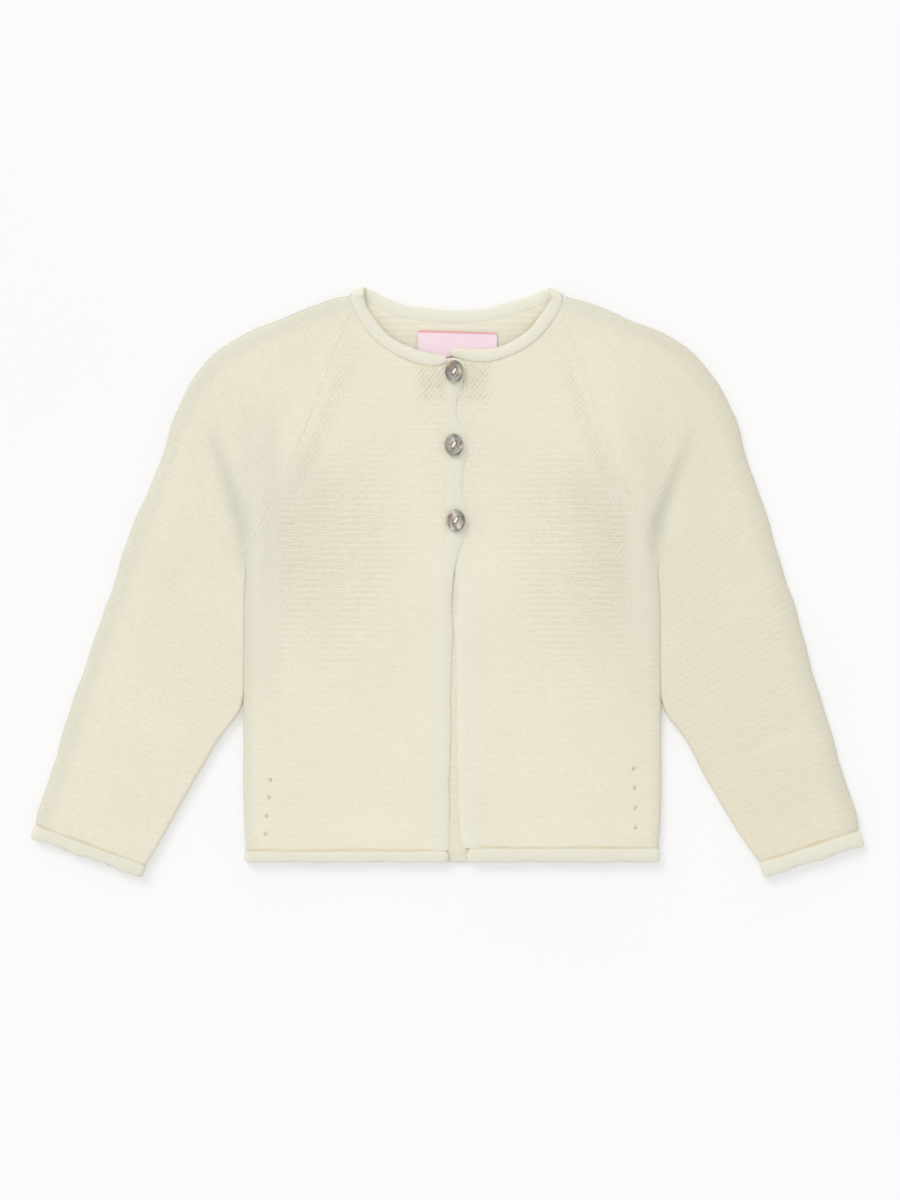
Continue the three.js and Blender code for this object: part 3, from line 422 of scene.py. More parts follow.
def garter(u, v, strength=1.0, moss=0.0):
    """Height of garter stitch: two rows of bumps make a ridge, half a stitch apart."""
    v = v + 0.3 * np.sin(u / 23 + v / 41) + 0.2 * np.sin(u / 8.3 + v / 19)
    ridge = np.floor(v / RIDGE)
    part = v / RIDGE - ridge - 0.5
    height = -0.5
    for side in (1, -1):
        phase = u / STITCH + (0 if side > 0 else 0.5)
        wave = np.cos(2 * np.pi * phase)
        size = 0.7 + 0.6 * uneven(np.floor(phase + 0.5), 2 * ridge + side)
        row = np.exp(-(((part - side * ROW_OFFSET) / ROW_WIDTH) ** 2))
        bump = row * (1 + STITCH_SWING * (wave - 1))
        height = height + bump * size
    return strength * (height * (1 - moss) + moss_dots(u, v) * moss)


def painted_gap_shade(knit):
    """Painted shade: the gaps between stitches are drawn a little darker and warmer."""
    return 0.155 * np.clip(-knit, 0, 0.8)


def crease_line(distance, along):
    """1 on the crease above a rolled edge, from the distance to it; the line wanders a little."""
    wander = 0.25 * np.sin(along / 11) + 0.15 * np.sin(along / 4.3 + 1)
    return np.exp(-(((distance - 0.1 - wander) / 0.8) ** 2))


def patchy(along):
    """Painted shade along a crease or rim fades and comes back along its length."""
    return 0.65 + 0.35 * np.sin(along / 13) * np.sin(along / 5.1 + 2)


def seam_share(x, y, table):
    """How close a place lies to a raglan seam, where both sides share one texture."""
    return ease(6.5, 2.0, np.abs(x - smooth_table(table, y))) * ease(ARMPIT_Y, ARMPIT_Y + 6, y)


def zones(x, y):
    """How strong the garter ridges are on a front, and how much of it is moss stitch.

    Moss stitch lies along the raglan lines and at the closure. The ridges are strongest on the
    sides of the chest, and weak in the hollow strips beside the armpits and near the bands.
    """
    side = np.abs(x - 2.5)
    left = smooth_table(LEFT_RAGLAN, y)
    right = smooth_table(RIGHT_RAGLAN, y)
    away = np.minimum(np.abs(x - left), np.abs(x - right))
    raglan = ease(24, 10, away) * ease(34, 66, y) * ease(150, 120, y)
    closure = ease(30, 18, np.abs(x - 4)) * np.maximum(ease(100, 112, y), 0.5 * ease(20, 60, y))
    moss = np.clip(raglan + closure, 0, 1)
    chest = ease(18, 62, side) * ease(92, 50, y) * ease(-96, 10, y)
    strip = ease(101, 107, side) * ease(84, 66, y) * ease(-70, -20, y)
    band = ease(16, 10, np.abs(x - 5))
    rows = (0.42 + 1.0 * chest) * (1 - 0.8 * strip) * (1 - 0.3 * band)
    dots = 1.6 + 0.9 * ease(30, 18, np.abs(x - 4)) * ease(100, 112, y)
    return rows * (1 - moss) + dots * moss, moss


def painted_grey_shade(x, y, on_body):
    """Painted grey shade where the wool is drawn greyer: folds from the armpits, hollows and sides
    of the chest, and the side away from the lamp.
    """
    side = np.abs(x - 2.5)
    shade = 0
    if on_body:
        shade = 0.2 * ease(58, 88, side) * ease(112, 96, side) * ease(96, 50, y) * ease(-70, 20, y)
    strip = 0.25 * ease(98, 108, side) * ease(132, 122, side) * ease(124, 70, y)
    strip = strip * (ease(-110, -20, y) if on_body else ease(6, 34, y))
    for _, points in RELIEFS[:2]:
        away, level = fold_line(x, y, points)
        shade = shade + 0.27 * np.clip(-level, 0, 3) * np.exp(-((away / 4.8) ** 2))
    return shade + strip + 0.12 * ease(70, 160, x)


def far_warmth(x):
    """The side away from the lamp looks a little warmer."""
    return 0.1 * ease(70, 160, x)


def painted_touching_shade(turn, y):
    """Painted warm shade along the line where the body and a sleeve lie against each other."""
    return 0.6 * np.sin(turn) ** 2 * ease(-86, -70, y)


def eyelet_marks(x, y):
    """1 in the middle of an eyelet and 0 away from it; each is a short slanted slit."""
    mark = np.zeros(x.shape)
    for ex, ey in EYELETS:
        lean = 0.35 if ex < 0 else -0.35
        along = (y - ey) + (x - ex) * -lean
        across = (x - ex) + (y - ey) * lean
        mark = np.maximum(mark, np.exp(-((across / 0.75) ** 2) - (along / 1.25) ** 2))
    return mark


# Meshes

def add_object(name, data):
    made = bpy.data.objects.new(name, data)
    bpy.context.scene.collection.objects.link(made)
    return made


class Build:
    """Collects grids of one piece: places, texture places, painted warm and cool shade, and faces.
    """

    def __init__(self):
        self.places, self.texture, self.warm, self.cool = [], [], [], []
        self.faces, self.slots = [], []
        self.count = 0

    def grid(self, places, u, v, warm=0.0, cool=0.0, slot=0, flip=False, wrap=False):
        rows, columns = places.shape[:2]
        ids = np.arange(rows * columns).reshape(rows, columns)
        right = np.roll(ids, -1, axis=1) if wrap else ids[:, 1:]
        left = ids if wrap else ids[:, :-1]
        quads = np.stack([left[:-1], right[:-1], right[1:], left[1:]], axis=-1).reshape(-1, 4)
        flat = places.reshape(-1, 3)
        across = flat[quads[:, 2]] - flat[quads[:, 0]]
        other = flat[quads[:, 3]] - flat[quads[:, 1]]
        area = np.linalg.norm(np.cross(across, other), axis=1) / 2
        quads = quads[area > SMALLEST_FACE]
        if flip:
            quads = quads[:, ::-1]
        used = np.unique(quads)
        renumber = np.full(rows * columns, -1)
        renumber[used] = np.arange(len(used)) + self.count
        u, v, warm, cool = [np.broadcast_to(value, (rows, columns)).ravel()[used]
                            for value in (u, v, warm, cool)]
        self.places.append(flat[used])
        self.texture.append(np.column_stack([u, v]))
        self.warm.append(warm)
        self.cool.append(cool)
        self.faces.append(renumber[quads])
        self.slots.append(np.full(len(quads), slot))
        self.count += len(used)

    def finish(self, name, materials):
        places = np.concatenate(self.places)
        faces = np.concatenate(self.faces).astype(np.int32)
        texture = np.concatenate(self.texture)
        places[:, 2] = np.maximum(places[:, 2], 0)
        mesh = bpy.data.meshes.new(name)
        mesh.vertices.add(len(places))
        mesh.vertices.foreach_set("co", (places * MM + SHIFT).astype(np.float32).ravel())
        mesh.loops.add(faces.size)
        mesh.loops.foreach_set("vertex_index", faces.ravel())
        mesh.polygons.add(len(faces))
        mesh.polygons.foreach_set("loop_start", np.arange(0, faces.size, 4, dtype=np.int32))
        mesh.polygons.foreach_set("material_index", np.concatenate(self.slots).astype(np.int32))
        uv = mesh.uv_layers.new(name="knit")
        uv.data.foreach_set("uv", (texture[faces.ravel()] / 100).astype(np.float32).ravel())
        for shade, parts in (("warm", self.warm), ("cool", self.cool)):
            attribute = mesh.attributes.new(shade, "FLOAT", "POINT")
            attribute.data.foreach_set("value", np.concatenate(parts).astype(np.float32))
        mesh.update(calc_edges=True)
        mesh.polygons.foreach_set("use_smooth", np.ones(len(faces), bool))
        mesh.validate()
        piece = add_object(name, mesh)
        for material in materials:
            mesh.materials.append(material)
        return piece


def side_line(left, v):
    """X of the side of the body up to the armpit, then of the raglan line."""
    side, raglan = (LEFT_SIDE, LEFT_RAGLAN) if left else (RIGHT_SIDE, RIGHT_RAGLAN)
    return np.where(v < ARMPIT_Y, smooth_table(side, v), smooth_table(raglan, v))


def rounded_edge(distance, total, fold):
    """Where a place lies near a folded edge, from its distance over the cloth.

    Returns that distance, held at the edge, its length in plan, and its turn over the fold.
    """
    arc = SIDE_ARC * fold
    flat_end = total - SIDE_ROUND * fold
    held = np.minimum(distance, np.where(fold > 0, flat_end + arc, total))
    over = np.clip(held - flat_end, 0, None)
    turn = np.where(fold > 0, np.clip(over / np.maximum(arc, 1e-6), 0, 1), 0) * np.pi / 2
    plan = np.where(held < flat_end, held, flat_end + SIDE_ROUND * fold * np.sin(turn))
    return held, np.minimum(plan, total), turn


def seam_tuck(fold, total, plan):
    """1 on the strip that goes under a raglan seam, and 0 where the side folds instead."""
    return (1 - fold) * ease(total - SEAM_TUCK - 0.1, total, plan)


def front_grid(build, side):
    """The outer face of a front, its inner face, and its rolled hem."""
    left = side == "left"
    sign = -1 if left else 1
    band = OVER_BAND if left else UNDER_BAND
    height = over_front_z if left else under_front_z
    raglan = LEFT_RAGLAN if left else RIGHT_RAGLAN
    roll = HEM_ROLL[side]
    fold_place = SHOULDERS[side]["fold"]
    neck = LEFT_NECK + [fold_place] if left else [fold_place] + RIGHT_NECK

    def face(row_step, column_step, inner):
        v = np.arange(FACE_START, FACE_END, row_step)[:, None]
        a = np.arange(-2.0, 136, column_step)[None, :]
        fold = 1 - ease(*FOLD_BLEND, v)
        seam = smooth_table(band, v)
        total = np.abs(side_line(left, v) - seam) + SEAM_TUCK * (1 - fold)
        held, plan, turn = rounded_edge(a, total, fold)
        x = seam + sign * plan
        neck_y = smooth_table(neck, x)
        y = np.minimum(v + 0 * x, neck_y + NECK_UNDERLAP)
        top = height(x, y) + (-WALL / 2 if inner else WALL / 2)
        top = top - FRONT_DIP * seam_tuck(fold, total, plan) - BAND_DIP * ease(0.2, -1.6, plan)
        lap = 0 if inner else np.sin(turn) ** 8
        middle = body_middle(x, y)
        z = middle + (top - middle) * np.cos(turn) - FOLD_LAP * lap
        if inner:
            return spot(x - sign * INNER_INSET * np.sin(turn), y, z), held, y
        strength, moss = zones(x, y)
        marks = eyelet_marks(x, y)
        at_hem = crease_line(y - HEM_Y - roll, x) * (1 - np.sin(turn) ** 4)
        at_neck = crease_line(neck_y - y, x)
        near = seam_share(x, y, raglan)
        knit = garter(held, y, strength, moss) * (1 - near) + SEAM_DOTS * moss_dots(x, y) * near
        knit = knit * (1 - np.maximum(at_hem, at_neck))
        bump = (RELIEF * knit - EYELET_DEPTH * marks - HEM_CREASE * at_hem
                - NECK_CREASE * at_neck - LAP_DEPTH * lap)
        out = spot(sign * np.sin(turn) / SIDE_ROUND, 0 * turn, np.cos(turn) / (UPPER - LOWER))
        places = spot(x, y, z) + unit(out) * bump[..., None]
        # Painted shade: warm in the stitch gaps, eyelet holes, along a sleeve's touching line, on
        # the side away from the lamp and in the creases above the rolls; grey in the hollows and
        # towards the folded sides
        warm = (painted_gap_shade(knit) + 0.9 * marks + painted_touching_shade(turn, y) + far_warmth(x)
                + CREASE_PAINTED_SHADE * (at_hem + at_neck) * patchy(x))
        cool = painted_grey_shade(x, y, True) + 0.4 * ease(8, 1, total - plan) * fold
        return places, held, y, warm, cool

    build.grid(*face(ROW_STEP, COLUMN_STEP, False), flip=left)
    build.grid(*face(4.0, 4.0, True), flip=not left)

    # Rolled hem, from the free edge round the side fold
    y0 = HEM_Y + roll
    edge = smooth_table(OVER_EDGE if left else UNDER_EDGE, HEM_Y + 3)
    seam = smooth_table(band, y0)
    total = abs(side_line(left, y0) - seam)
    first = (edge - seam) * sign
    last = total - SIDE_ROUND + SIDE_ARC
    a = np.linspace(first, last, int((last - first) / COLUMN_STEP))
    _, plan, turn = rounded_edge(a, total, 1.0)
    x = seam + sign * plan
    joined = 0.5 * (HEM_ROLL["back"] - roll) * np.sin(turn) ** 2
    y = y0 + joined
    top = height(x, y) + WALL / 2
    middle = body_middle(x, y)
    z = middle + (top - middle) * np.cos(turn) - FOLD_LAP * np.sin(turn) ** 8
    normal = spot(sign * np.sin(turn), 0 * turn, np.cos(turn))
    sweep(build, spot(x, y, z), normal, HEMWARDS, roll + joined, round_start=3.0, flip=left,
          centre=TUBE[1] - FOLD_INSET * np.sin(turn) ** 2)


def tube_below(share):
    """Half height and middle of a rolled edge's tube: 1 below the garment, 0 above or at a fold."""
    return [high + (low - high) * share for high, low in zip(TUBE, LOW_TUBE)]


def sweep(build, path, normal, outward, width, round_start=0.0, round_end=0.0, flip=False,
          closed=False, half_height=TUBE[0], centre=TUBE[1], power=2.9, slot=1, start=0.0,
          taper=1.0, drop=0.0, crease=0.5, cool=0.25, rim=0.0, sway=1.0):
    """A rolled edge: a flattened tube from the crease outwards, along a path on the cloth.

    Width, start, taper, half height, centre, crease and rim may be one value or one a place.
    """
    count = len(path)

    def each(value):
        return np.broadcast_to(np.asarray(value, float), (count,))[:, None]

    run = run_length(path)[:, None]
    length = run[-1, 0]
    angle = np.linspace(0, 2 * np.pi, TUBE_SIDES, endpoint=False)[None, :]
    cos, sin = np.cos(angle), np.sin(angle)
    across = -np.sign(cos) * np.abs(cos) ** (2 / power)
    up = np.sign(sin) * np.abs(sin) ** (2 / power)
    size = np.ones((count, 1))
    for rounding, distance in ((round_start, run), (round_end, length - run)):
        if rounding > 0:
            part = np.clip(distance / rounding, 0, 1)
            size = np.minimum(size, np.sqrt(np.clip(1 - (1 - part) ** 2, 1e-4, 1)))
    if closed:
        turns = 2 * np.pi * run / length
        wobble = sway * (0.5 * np.sin(5 * turns + 1) + 0.35 * np.sin(11 * turns))
    else:
        wobble = sway * (0.3 * np.sin(run / 9.0) + 0.2 * np.sin(run / 4.1 + 1))
        wobble = wobble * ease(0, 6, run) * ease(0, 6, length - run)
    half = (each(width) * each(taper) - each(start) + wobble) / 2
    outwards = each(start) + half + half * across * size
    high = each(centre) + (each(half_height) + 0.2 * wobble) * up * size
    high = high - drop * ((across + 1) / 2) ** 2
    normal, outward = [np.broadcast_to(way, (count, 3))[:, None, :] for way in (normal, outward)]
    places = path[:, None, :] + outward * outwards[..., None] + normal * high[..., None]
    # Painted warm shade: crease where the tube meets the cloth, and rim along its outer edge; cool
    # gives painted grey shade over the whole tube
    tan = each(crease) * patchy(run) * np.clip(1 - (across + 1) * 4, 0, 1)
    tan = tan + each(rim) * patchy(2.3 * run) * np.clip(4 * across - 3, 0, 1)
    build.grid(places, run, angle / (2 * np.pi) * TUBE_TEXTURE, warm=tan, cool=cool, slot=slot,
               flip=flip, wrap=True)


def back_grid(build):
    """The underside of the back, its inner face, and its rolled hem."""
    neck = [(-54.9, 170.2)] + BACK_NECK + [(65.5, 169.8)]

    def face(column_step, inner):
        v = np.arange(FACE_START, FACE_END, RIDGE / 5)[:, None]
        t = np.linspace(-1, 1, int(270 / column_step))[None, :]
        centre = 2.6
        sign = np.where(t < 0, -1.0, 1.0)
        fold = 1 - ease(*FOLD_BLEND, v) + 0 * t
        total = np.where(t < 0, centre - side_line(True, v), side_line(False, v) - centre)
        total = total + SEAM_TUCK * (1 - fold)
        held, plan, turn = rounded_edge(np.abs(t) * 137, total, fold)
        x = centre + sign * plan
        y = np.minimum(v + 0 * x, smooth_table(neck, x) + (0 if inner else NECK_UNDERLAP))
        up = 1 if inner else -1
        level = body_lower_z(x, y) + up * WALL / 2
        if inner:
            level = level + slit_rise(x, y) - 0.8 * ease(HEM_Y + 6.5, HEM_Y + 2.5, y)
        level = level - up * SEAM_DIP * seam_tuck(fold, total, plan)
        lap = 0 if inner else np.sin(turn) ** 8
        middle = body_middle(x, y)
        z = middle + (level - middle) * np.cos(turn) + FOLD_LAP * lap
        bump = 0.8 * RELIEF * garter(0 * x + STITCH / 4, y, ease(-160, -156, y)) - LAP_DEPTH * lap
        out = spot(sign * np.sin(turn) / SIDE_ROUND, 0 * turn, up * np.cos(turn) / (UPPER - LOWER))
        inset = INNER_INSET if inner else 0
        places = spot(x - sign * inset * np.sin(turn), y, z) + unit(out) * bump[..., None]
        warm = 0.0
        # Painted warm shade on the inner face of the back in the slit between the fronts
        if inner:
            warm = 0.12 * ease(20, 8, np.abs(x - SLIT["x"])) * ease(30, 0, y)
        return places, sign * held, y, warm

    build.grid(*face(LOW_COLUMN_STEP, False), flip=True)
    build.grid(*face(2.6, True))

    # Rolled hem, from side fold to side fold
    roll = HEM_ROLL["back"]
    y0 = HEM_Y + roll
    ends = [side_line(True, y0), side_line(False, y0)]
    total = (ends[1] - ends[0]) / 2
    reach = total - SIDE_ROUND + SIDE_ARC
    a = np.linspace(-reach, reach, int(2 * reach / COLUMN_STEP))
    _, plan, turn = rounded_edge(np.abs(a), total, 1.0)
    x = sum(ends) / 2 + np.sign(a) * plan
    front_roll = np.where(a < 0, HEM_ROLL["left"], HEM_ROLL["right"])
    joined = 0.5 * (front_roll - roll) * np.sin(turn) ** 2
    y = y0 + joined
    middle = body_middle(x, y)
    low = body_lower_z(x, y) - WALL / 2
    path = spot(x, y, middle + (low - middle) * np.cos(turn))
    normal = spot(np.sign(a) * np.sin(turn), 0 * turn, -np.cos(turn))
    half_height, centre = tube_below(np.cos(turn) ** 2)
    sweep(build, path, normal, HEMWARDS, roll + joined, half_height=half_height,
          centre=centre - FOLD_INSET * np.sin(turn) ** 2)


def sleeve_turns(distance, total, fold_in):
    """Where a place lies between the outer and inner folds of a sleeve, as in rounded_edge.

    Returns the distance, held at the inner edge, its length in plan, and its turn over each fold.
    """
    arc_in = SIDE_ARC * fold_in
    flat_end = EDGE_ARC + total - EDGE_ROUND - SIDE_ROUND * fold_in
    held = np.minimum(distance, flat_end + arc_in)
    turn_out = np.clip(1 - held / EDGE_ARC, 0, 1) * np.pi / 2
    over = np.clip(held - flat_end, 0, None)
    share = np.where(arc_in > 1e-3, np.clip(over / np.maximum(arc_in, 1e-3), 0, 1), 0)
    turn_in = share * np.pi / 2
    flat = np.clip(held, EDGE_ARC, flat_end) - EDGE_ARC + EDGE_ROUND
    plan = np.where(held < EDGE_ARC, EDGE_ROUND * (1 - np.sin(turn_out)),
                    flat + SIDE_ROUND * fold_in * np.sin(turn_in))
    return held, np.minimum(plan, total), turn_out, turn_in


def sleeve_grid(build, side):
    """The upper and lower faces of a sleeve, outside and inside, and its rolled cuff."""
    left = side == "left"
    raglan = LEFT_RAGLAN if left else RIGHT_RAGLAN
    keys = LEFT_ROWS if left else RIGHT_ROWS
    rows = np.array([[*outer, *inner] for outer, inner in keys], float)
    along = run_length(rows[:, :2] * 0.6 + rows[:, 2:] * 0.4)
    armpit = along[ARMPIT_ROW]
    table = np.column_stack([along, rows])
    first_chord = unit(rows[0, 2:] - rows[0, :2])
    outward = np.array([first_chord[1], -first_chord[0]])
    outward = outward if outward[1] < 0 else -outward
    last_chord = unit(rows[-1, 2:] - rows[-1, :2])
    neckward = np.array([-last_chord[1], last_chord[0]])
    neckward = neckward if (neckward[0] > 0) == left else -neckward

    def lines(v):
        """Outer fold and inner edge of the sleeve; the inner edge bends sharply at the armpit."""
        whole = smooth_table(table, v)
        inner = np.where((v < armpit)[:, None], smooth_table(table[:ARMPIT_ROW + 1], v)[:, 2:],
                         smooth_table(table[ARMPIT_ROW:], v)[:, 2:])
        beyond = (np.maximum(-v, 0)[:, None] * outward
                  + np.maximum(v - along[-1], 0)[:, None] * neckward)
        wander = 0.35 * np.sin(v / 9.5 + 1) + 0.2 * np.sin(v / 4.1)
        outer = whole[:, :2] + wander[:, None] * unit(whole[:, :2] - inner)
        return outer + beyond, inner + beyond

    def face(row_step, column_step, top, inside=False):
        v = np.arange(-2.5, along[-1] + 2.4, row_step)
        outer, inner = lines(v)
        chord = inner - outer
        v = v[:, None]
        total = np.linalg.norm(chord, axis=1)[:, None]
        towards = unit(chord)
        fold_in = 1 - ease(armpit - 14, armpit, v)
        a = np.arange(0, 110, column_step)[None, :]
        held, plan, turn_out, turn_in = sleeve_turns(a, total, fold_in)
        x = outer[:, :1] + towards[:, :1] * plan
        y = outer[:, 1:] + towards[:, 1:] * plan
        up = 1 if top else -1
        high, low = sleeve_upper_z(x, y), sleeve_lower_z(x, y)
        middle = (high + low) / 2
        level = (high if top else low) + up * (-WALL / 2 if inside else WALL / 2)
        turn = np.maximum(turn_out, turn_in)
        lap = 0 if inside else np.sin(turn) ** 8
        dip = SEAM_DIP * (1 - fold_in) * ease(total - 0.9, total, plan)
        z = middle + (level - middle) * np.cos(turn) - up * (FOLD_LAP * lap + dip)
        lean = np.sin(turn_in) - np.sin(turn_out)
        if inside:
            inset = -INNER_INSET * lean
            return spot(x + towards[:, :1] * inset, y + towards[:, 1:] * inset, z), held, v
        moss = ease(14, 5, np.abs(x - smooth_table(raglan, y))) * ease(30, 60, y)
        stitch = held if top else 0 * held + STITCH / 4
        knit = garter(stitch, v + 0 * held, SLEEVE_RIDGES[side], moss)
        near = seam_share(x, y, raglan) if top else 0
        at_cuff = crease_line(v, held)
        knit = (knit * (1 - near) + SEAM_DOTS * moss_dots(x, y) * near) * (1 - at_cuff)
        bump = RELIEF * knit - HEM_CREASE * at_cuff - LAP_DEPTH * lap
        out = spot(towards[:, :1] * lean / EDGE_ROUND, towards[:, 1:] * lean / EDGE_ROUND,
                   up * np.cos(turn) / (UPPER - LOWER))
        places = spot(x, y, z) + unit(out) * bump[..., None]
        if not top:
            return places, held, v
        # Painted shade: warm in the stitch gaps, along the line where the sleeve touches the body,
        # on the side away from the lamp and in the crease above the cuff; grey in the hollows and
        # towards the outer fold
        warm = (painted_gap_shade(knit) + painted_touching_shade(turn_in, y) + far_warmth(x)
                + CREASE_PAINTED_SHADE * at_cuff * patchy(held))
        cool = painted_grey_shade(x, y, False) + 0.45 * ease(15, 2, plan)
        return places, held, v, warm, cool

    build.grid(*face(ROW_STEP, COLUMN_STEP, True), flip=not left)
    build.grid(*face(ROW_STEP * 1.5, LOW_COLUMN_STEP, False), flip=left)
    build.grid(*face(5.0, 5.0, True, True), flip=left)
    build.grid(*face(5.0, 5.0, False, True), flip=not left)

    # Rolled cuff, round the whole tube and back to its start
    outer, inner = [line[0] for line in lines(np.array([0.0]))]
    towards = unit(inner - outer)
    width = np.linalg.norm(inner - outer)
    half_run = width - EDGE_ROUND - SIDE_ROUND + EDGE_ARC + SIDE_ARC
    run = 2 * half_run
    a = np.arange(0, run, run / int(run / COLUMN_STEP))
    a = np.append(a, a[0])
    on_top = a < half_run
    _, plan, turn_out, turn_in = sleeve_turns(np.where(on_top, a, run - a), width, 1.0)
    x, y = outer[0] + towards[0] * plan, outer[1] + towards[1] * plan
    high, low = sleeve_upper_z(x, y), sleeve_lower_z(x, y)
    middle = (high + low) / 2
    bend = np.maximum(turn_out, turn_in)
    level = np.where(on_top, high + WALL / 2, low - WALL / 2)
    path = spot(x, y, middle + (level - middle) * np.cos(bend))
    lean = np.sin(turn_in) - np.sin(turn_out)
    up = np.where(on_top, 1, -1) * np.cos(bend)
    normal = unit(spot(towards[0] * lean, towards[1] * lean, up))
    half_height, centre = tube_below(np.where(on_top, 0, np.cos(bend) ** 2))
    folded = np.sin(bend) ** 2
    sweep(build, path, normal, np.array([*outward, 0.0]), CUFF_ROLL[side], closed=True,
          flip=not left, half_height=half_height, centre=centre - FOLD_INSET * folded,
          crease=0.5 * (1 - 0.8 * folded))


def neck_piece(build):
    """The rolled edge round the neck, along its seam: over front, shoulder, back and so on."""
    def on_layer(points, height):
        path = smooth_path(points, 160)
        z = height(path[:, 0], path[:, 1]) + WALL / 2
        return np.column_stack([path, z]), np.tile(UP, (len(path), 1))

    def turn(shoulder):
        """Over the fold of a shoulder, from the front down to the back."""
        angles = np.radians([60, 30, 0, -30, -60])
        out = spot(np.cos(angles) * shoulder["outward"][0],
                   np.cos(angles) * shoulder["outward"][1], np.sin(angles))
        along = FOLD_SHIFT * (np.pi / 2 - angles) / np.pi
        plan = np.array(shoulder["fold"]) + np.outer(along, shoulder["towards_neck"])
        middle = (UPPER + SHOULDER_LIFT + LOWER + NECK_LIFT) / 2
        return np.column_stack([plan, np.full(5, middle)]) + out * (FOLD_BEND + WALL / 2), out

    left, right = SHOULDERS["left"], SHOULDERS["right"]
    ends = [tuple(np.array(s["fold"]) + np.array(s["towards_neck"]) * FOLD_SHIFT)
            for s in (left, right)]
    back, up = on_layer([ends[0], *BACK_NECK, ends[1]], lower_z)
    back[:, 2] -= WALL
    parts = [
        on_layer([*LEFT_NECK, left["fold"]], over_front_z),
        turn(left),
        (back, -up),
        [rows[::-1] for rows in turn(right)],
        on_layer([right["fold"], *RIGHT_NECK], under_front_z),
    ]
    both = np.hstack([np.vstack(rows) for rows in zip(*parts)])
    run = run_length(both[:, :3])
    even = np.arange(0, run[-1], COLUMN_STEP)
    both = np.column_stack([np.interp(even, run, both[:, k]) for k in range(6)])
    kernel = np.ones(5) / 5
    padded = np.pad(both, ((2, 2), (0, 0)), mode="edge")
    both = np.column_stack([np.convolve(padded[:, k], kernel, mode="valid") for k in range(6)])
    path, out = both[:, :3], both[:, 3:]
    forward = unit(np.gradient(path, axis=0))
    out = unit(out - forward * np.sum(out * forward, axis=1, keepdims=True))
    length = even[-1]
    taper = 1 - 0.35 * ease(12, 0, even) - 0.35 * ease(length - 14, length, even)
    behind = ease(0.3, -0.3, out[:, 2])
    sweep(build, path, out, np.cross(forward, out), NECK_ROLL, round_start=2.5, round_end=3.0,
          slot=0, taper=taper, start=-0.2 - 1.8 * behind, centre=TUBE[1] + 0.6 * behind,
          half_height=TUBE[0] + 0.35 * behind, flip=True, crease=0.4, cool=0.1, power=2.4,
          rim=0.3 * (1 - behind))


def band_piece(build, over):
    """The smooth band along the edge of the front that lies over or under."""
    edge, seam = (OVER_EDGE, OVER_BAND) if over else (UNDER_EDGE, UNDER_BAND)
    height = over_front_z if over else under_front_z
    roll = HEM_ROLL["left" if over else "right"]
    y = np.arange(HEM_Y + roll - 1.0, BAND_TOP["over" if over else "under"], COLUMN_STEP)
    x = smooth_table(seam, y)
    sign = 1.0 if over else -1.0
    width = np.abs(smooth_table(edge, y) - x)
    path = np.column_stack([x, y, height(x, y) + 0.05])
    sweep(build, path, UP, np.array([sign, 0.0, 0.0]), width, round_start=1.5, round_end=1.5,
          half_height=1.05, centre=0.12, power=2.1, slot=0, start=-2.6, flip=not over, drop=1.0,
          crease=0.0, cool=0.08, rim=0.22 * ease(10, -10, y) * ease(-150, -130, y))


def label_place(u, edge):
    """A place on the label's top or bottom edge, u from 0 at its left end to 1."""
    start, end = LABEL[edge]
    return LABEL["left"] + (LABEL["right"] - LABEL["left"]) * u, start + (end - start) * u


def label_face_z(x, y):
    return body_lower_z(x, y) + WALL / 2 + LABEL_THICKNESS + LABEL_GAP


def label_piece(build):
    """A woven label with a soft wave, a little off the cloth."""
    u, v = np.meshgrid(np.linspace(0, 1, 96), np.linspace(0, 1, 36))
    x, bottom = label_place(u, "bottom")
    _, top = label_place(u, "top")
    y = bottom + (top - bottom) * v
    swell = 0.25 * np.sin(np.pi * u * 2.0 + 0.6) * np.sin(np.pi * v)
    width = LABEL["right"] - LABEL["left"]
    places = spot(x, y, label_face_z(x, y) + swell)
    under = places - LABEL_THICKNESS * UP
    build.grid(places, u * width, v * 12)
    build.grid(under, u * width, v * 12, flip=True)
    for a, b in ((places[0], under[0]), (places[-1], under[-1]),
                 (places[:, 0], under[:, 0]), (places[:, -1], under[:, -1])):
        build.grid(np.stack([a, b]), 0.0, 0.0)


def painted_shell_sheen(x, y, patches):
    """Colour of the shell's face: soft patches of painted sheen, highlight and shade laid over grey.
    """
    colour = np.broadcast_to(np.array(SHELL_COLOURS["grey"]), (*x.shape, 3)).copy()
    angle = np.arctan2(y, x)
    radius = np.hypot(x, y) / 6.7
    for name, turn, reach, width, depth in patches:
        bend = np.angle(np.exp(1j * (angle - math.radians(turn))))
        near = np.exp(-((bend / math.radians(width)) ** 2) - ((radius - reach) / depth) ** 2)
        colour += near[..., None] * (np.array(SHELL_COLOURS[name]) - colour)
    return colour


def button_top(radius, p, q):
    """Height of a button's face: raised rim, hollow middle, a sunk eye along p and two holes."""
    top = 2.25 + 0.5 * np.exp(-(((radius - 5.4) / 0.75) ** 2))
    top = top - 0.25 * np.exp(-((radius / 4.0) ** 4))
    top = top - 1.9 * np.clip((radius - 5.9) / 0.9, 0, 1) ** 2.5
    top = top - 0.55 * np.exp(-((p / 2.9) ** 4) - ((q / 1.15) ** 4))
    for side in (1, -1):
        top = top - 1.2 * ease(0.9, 0.6, np.hypot(p - side * 2.0, q))
    return top


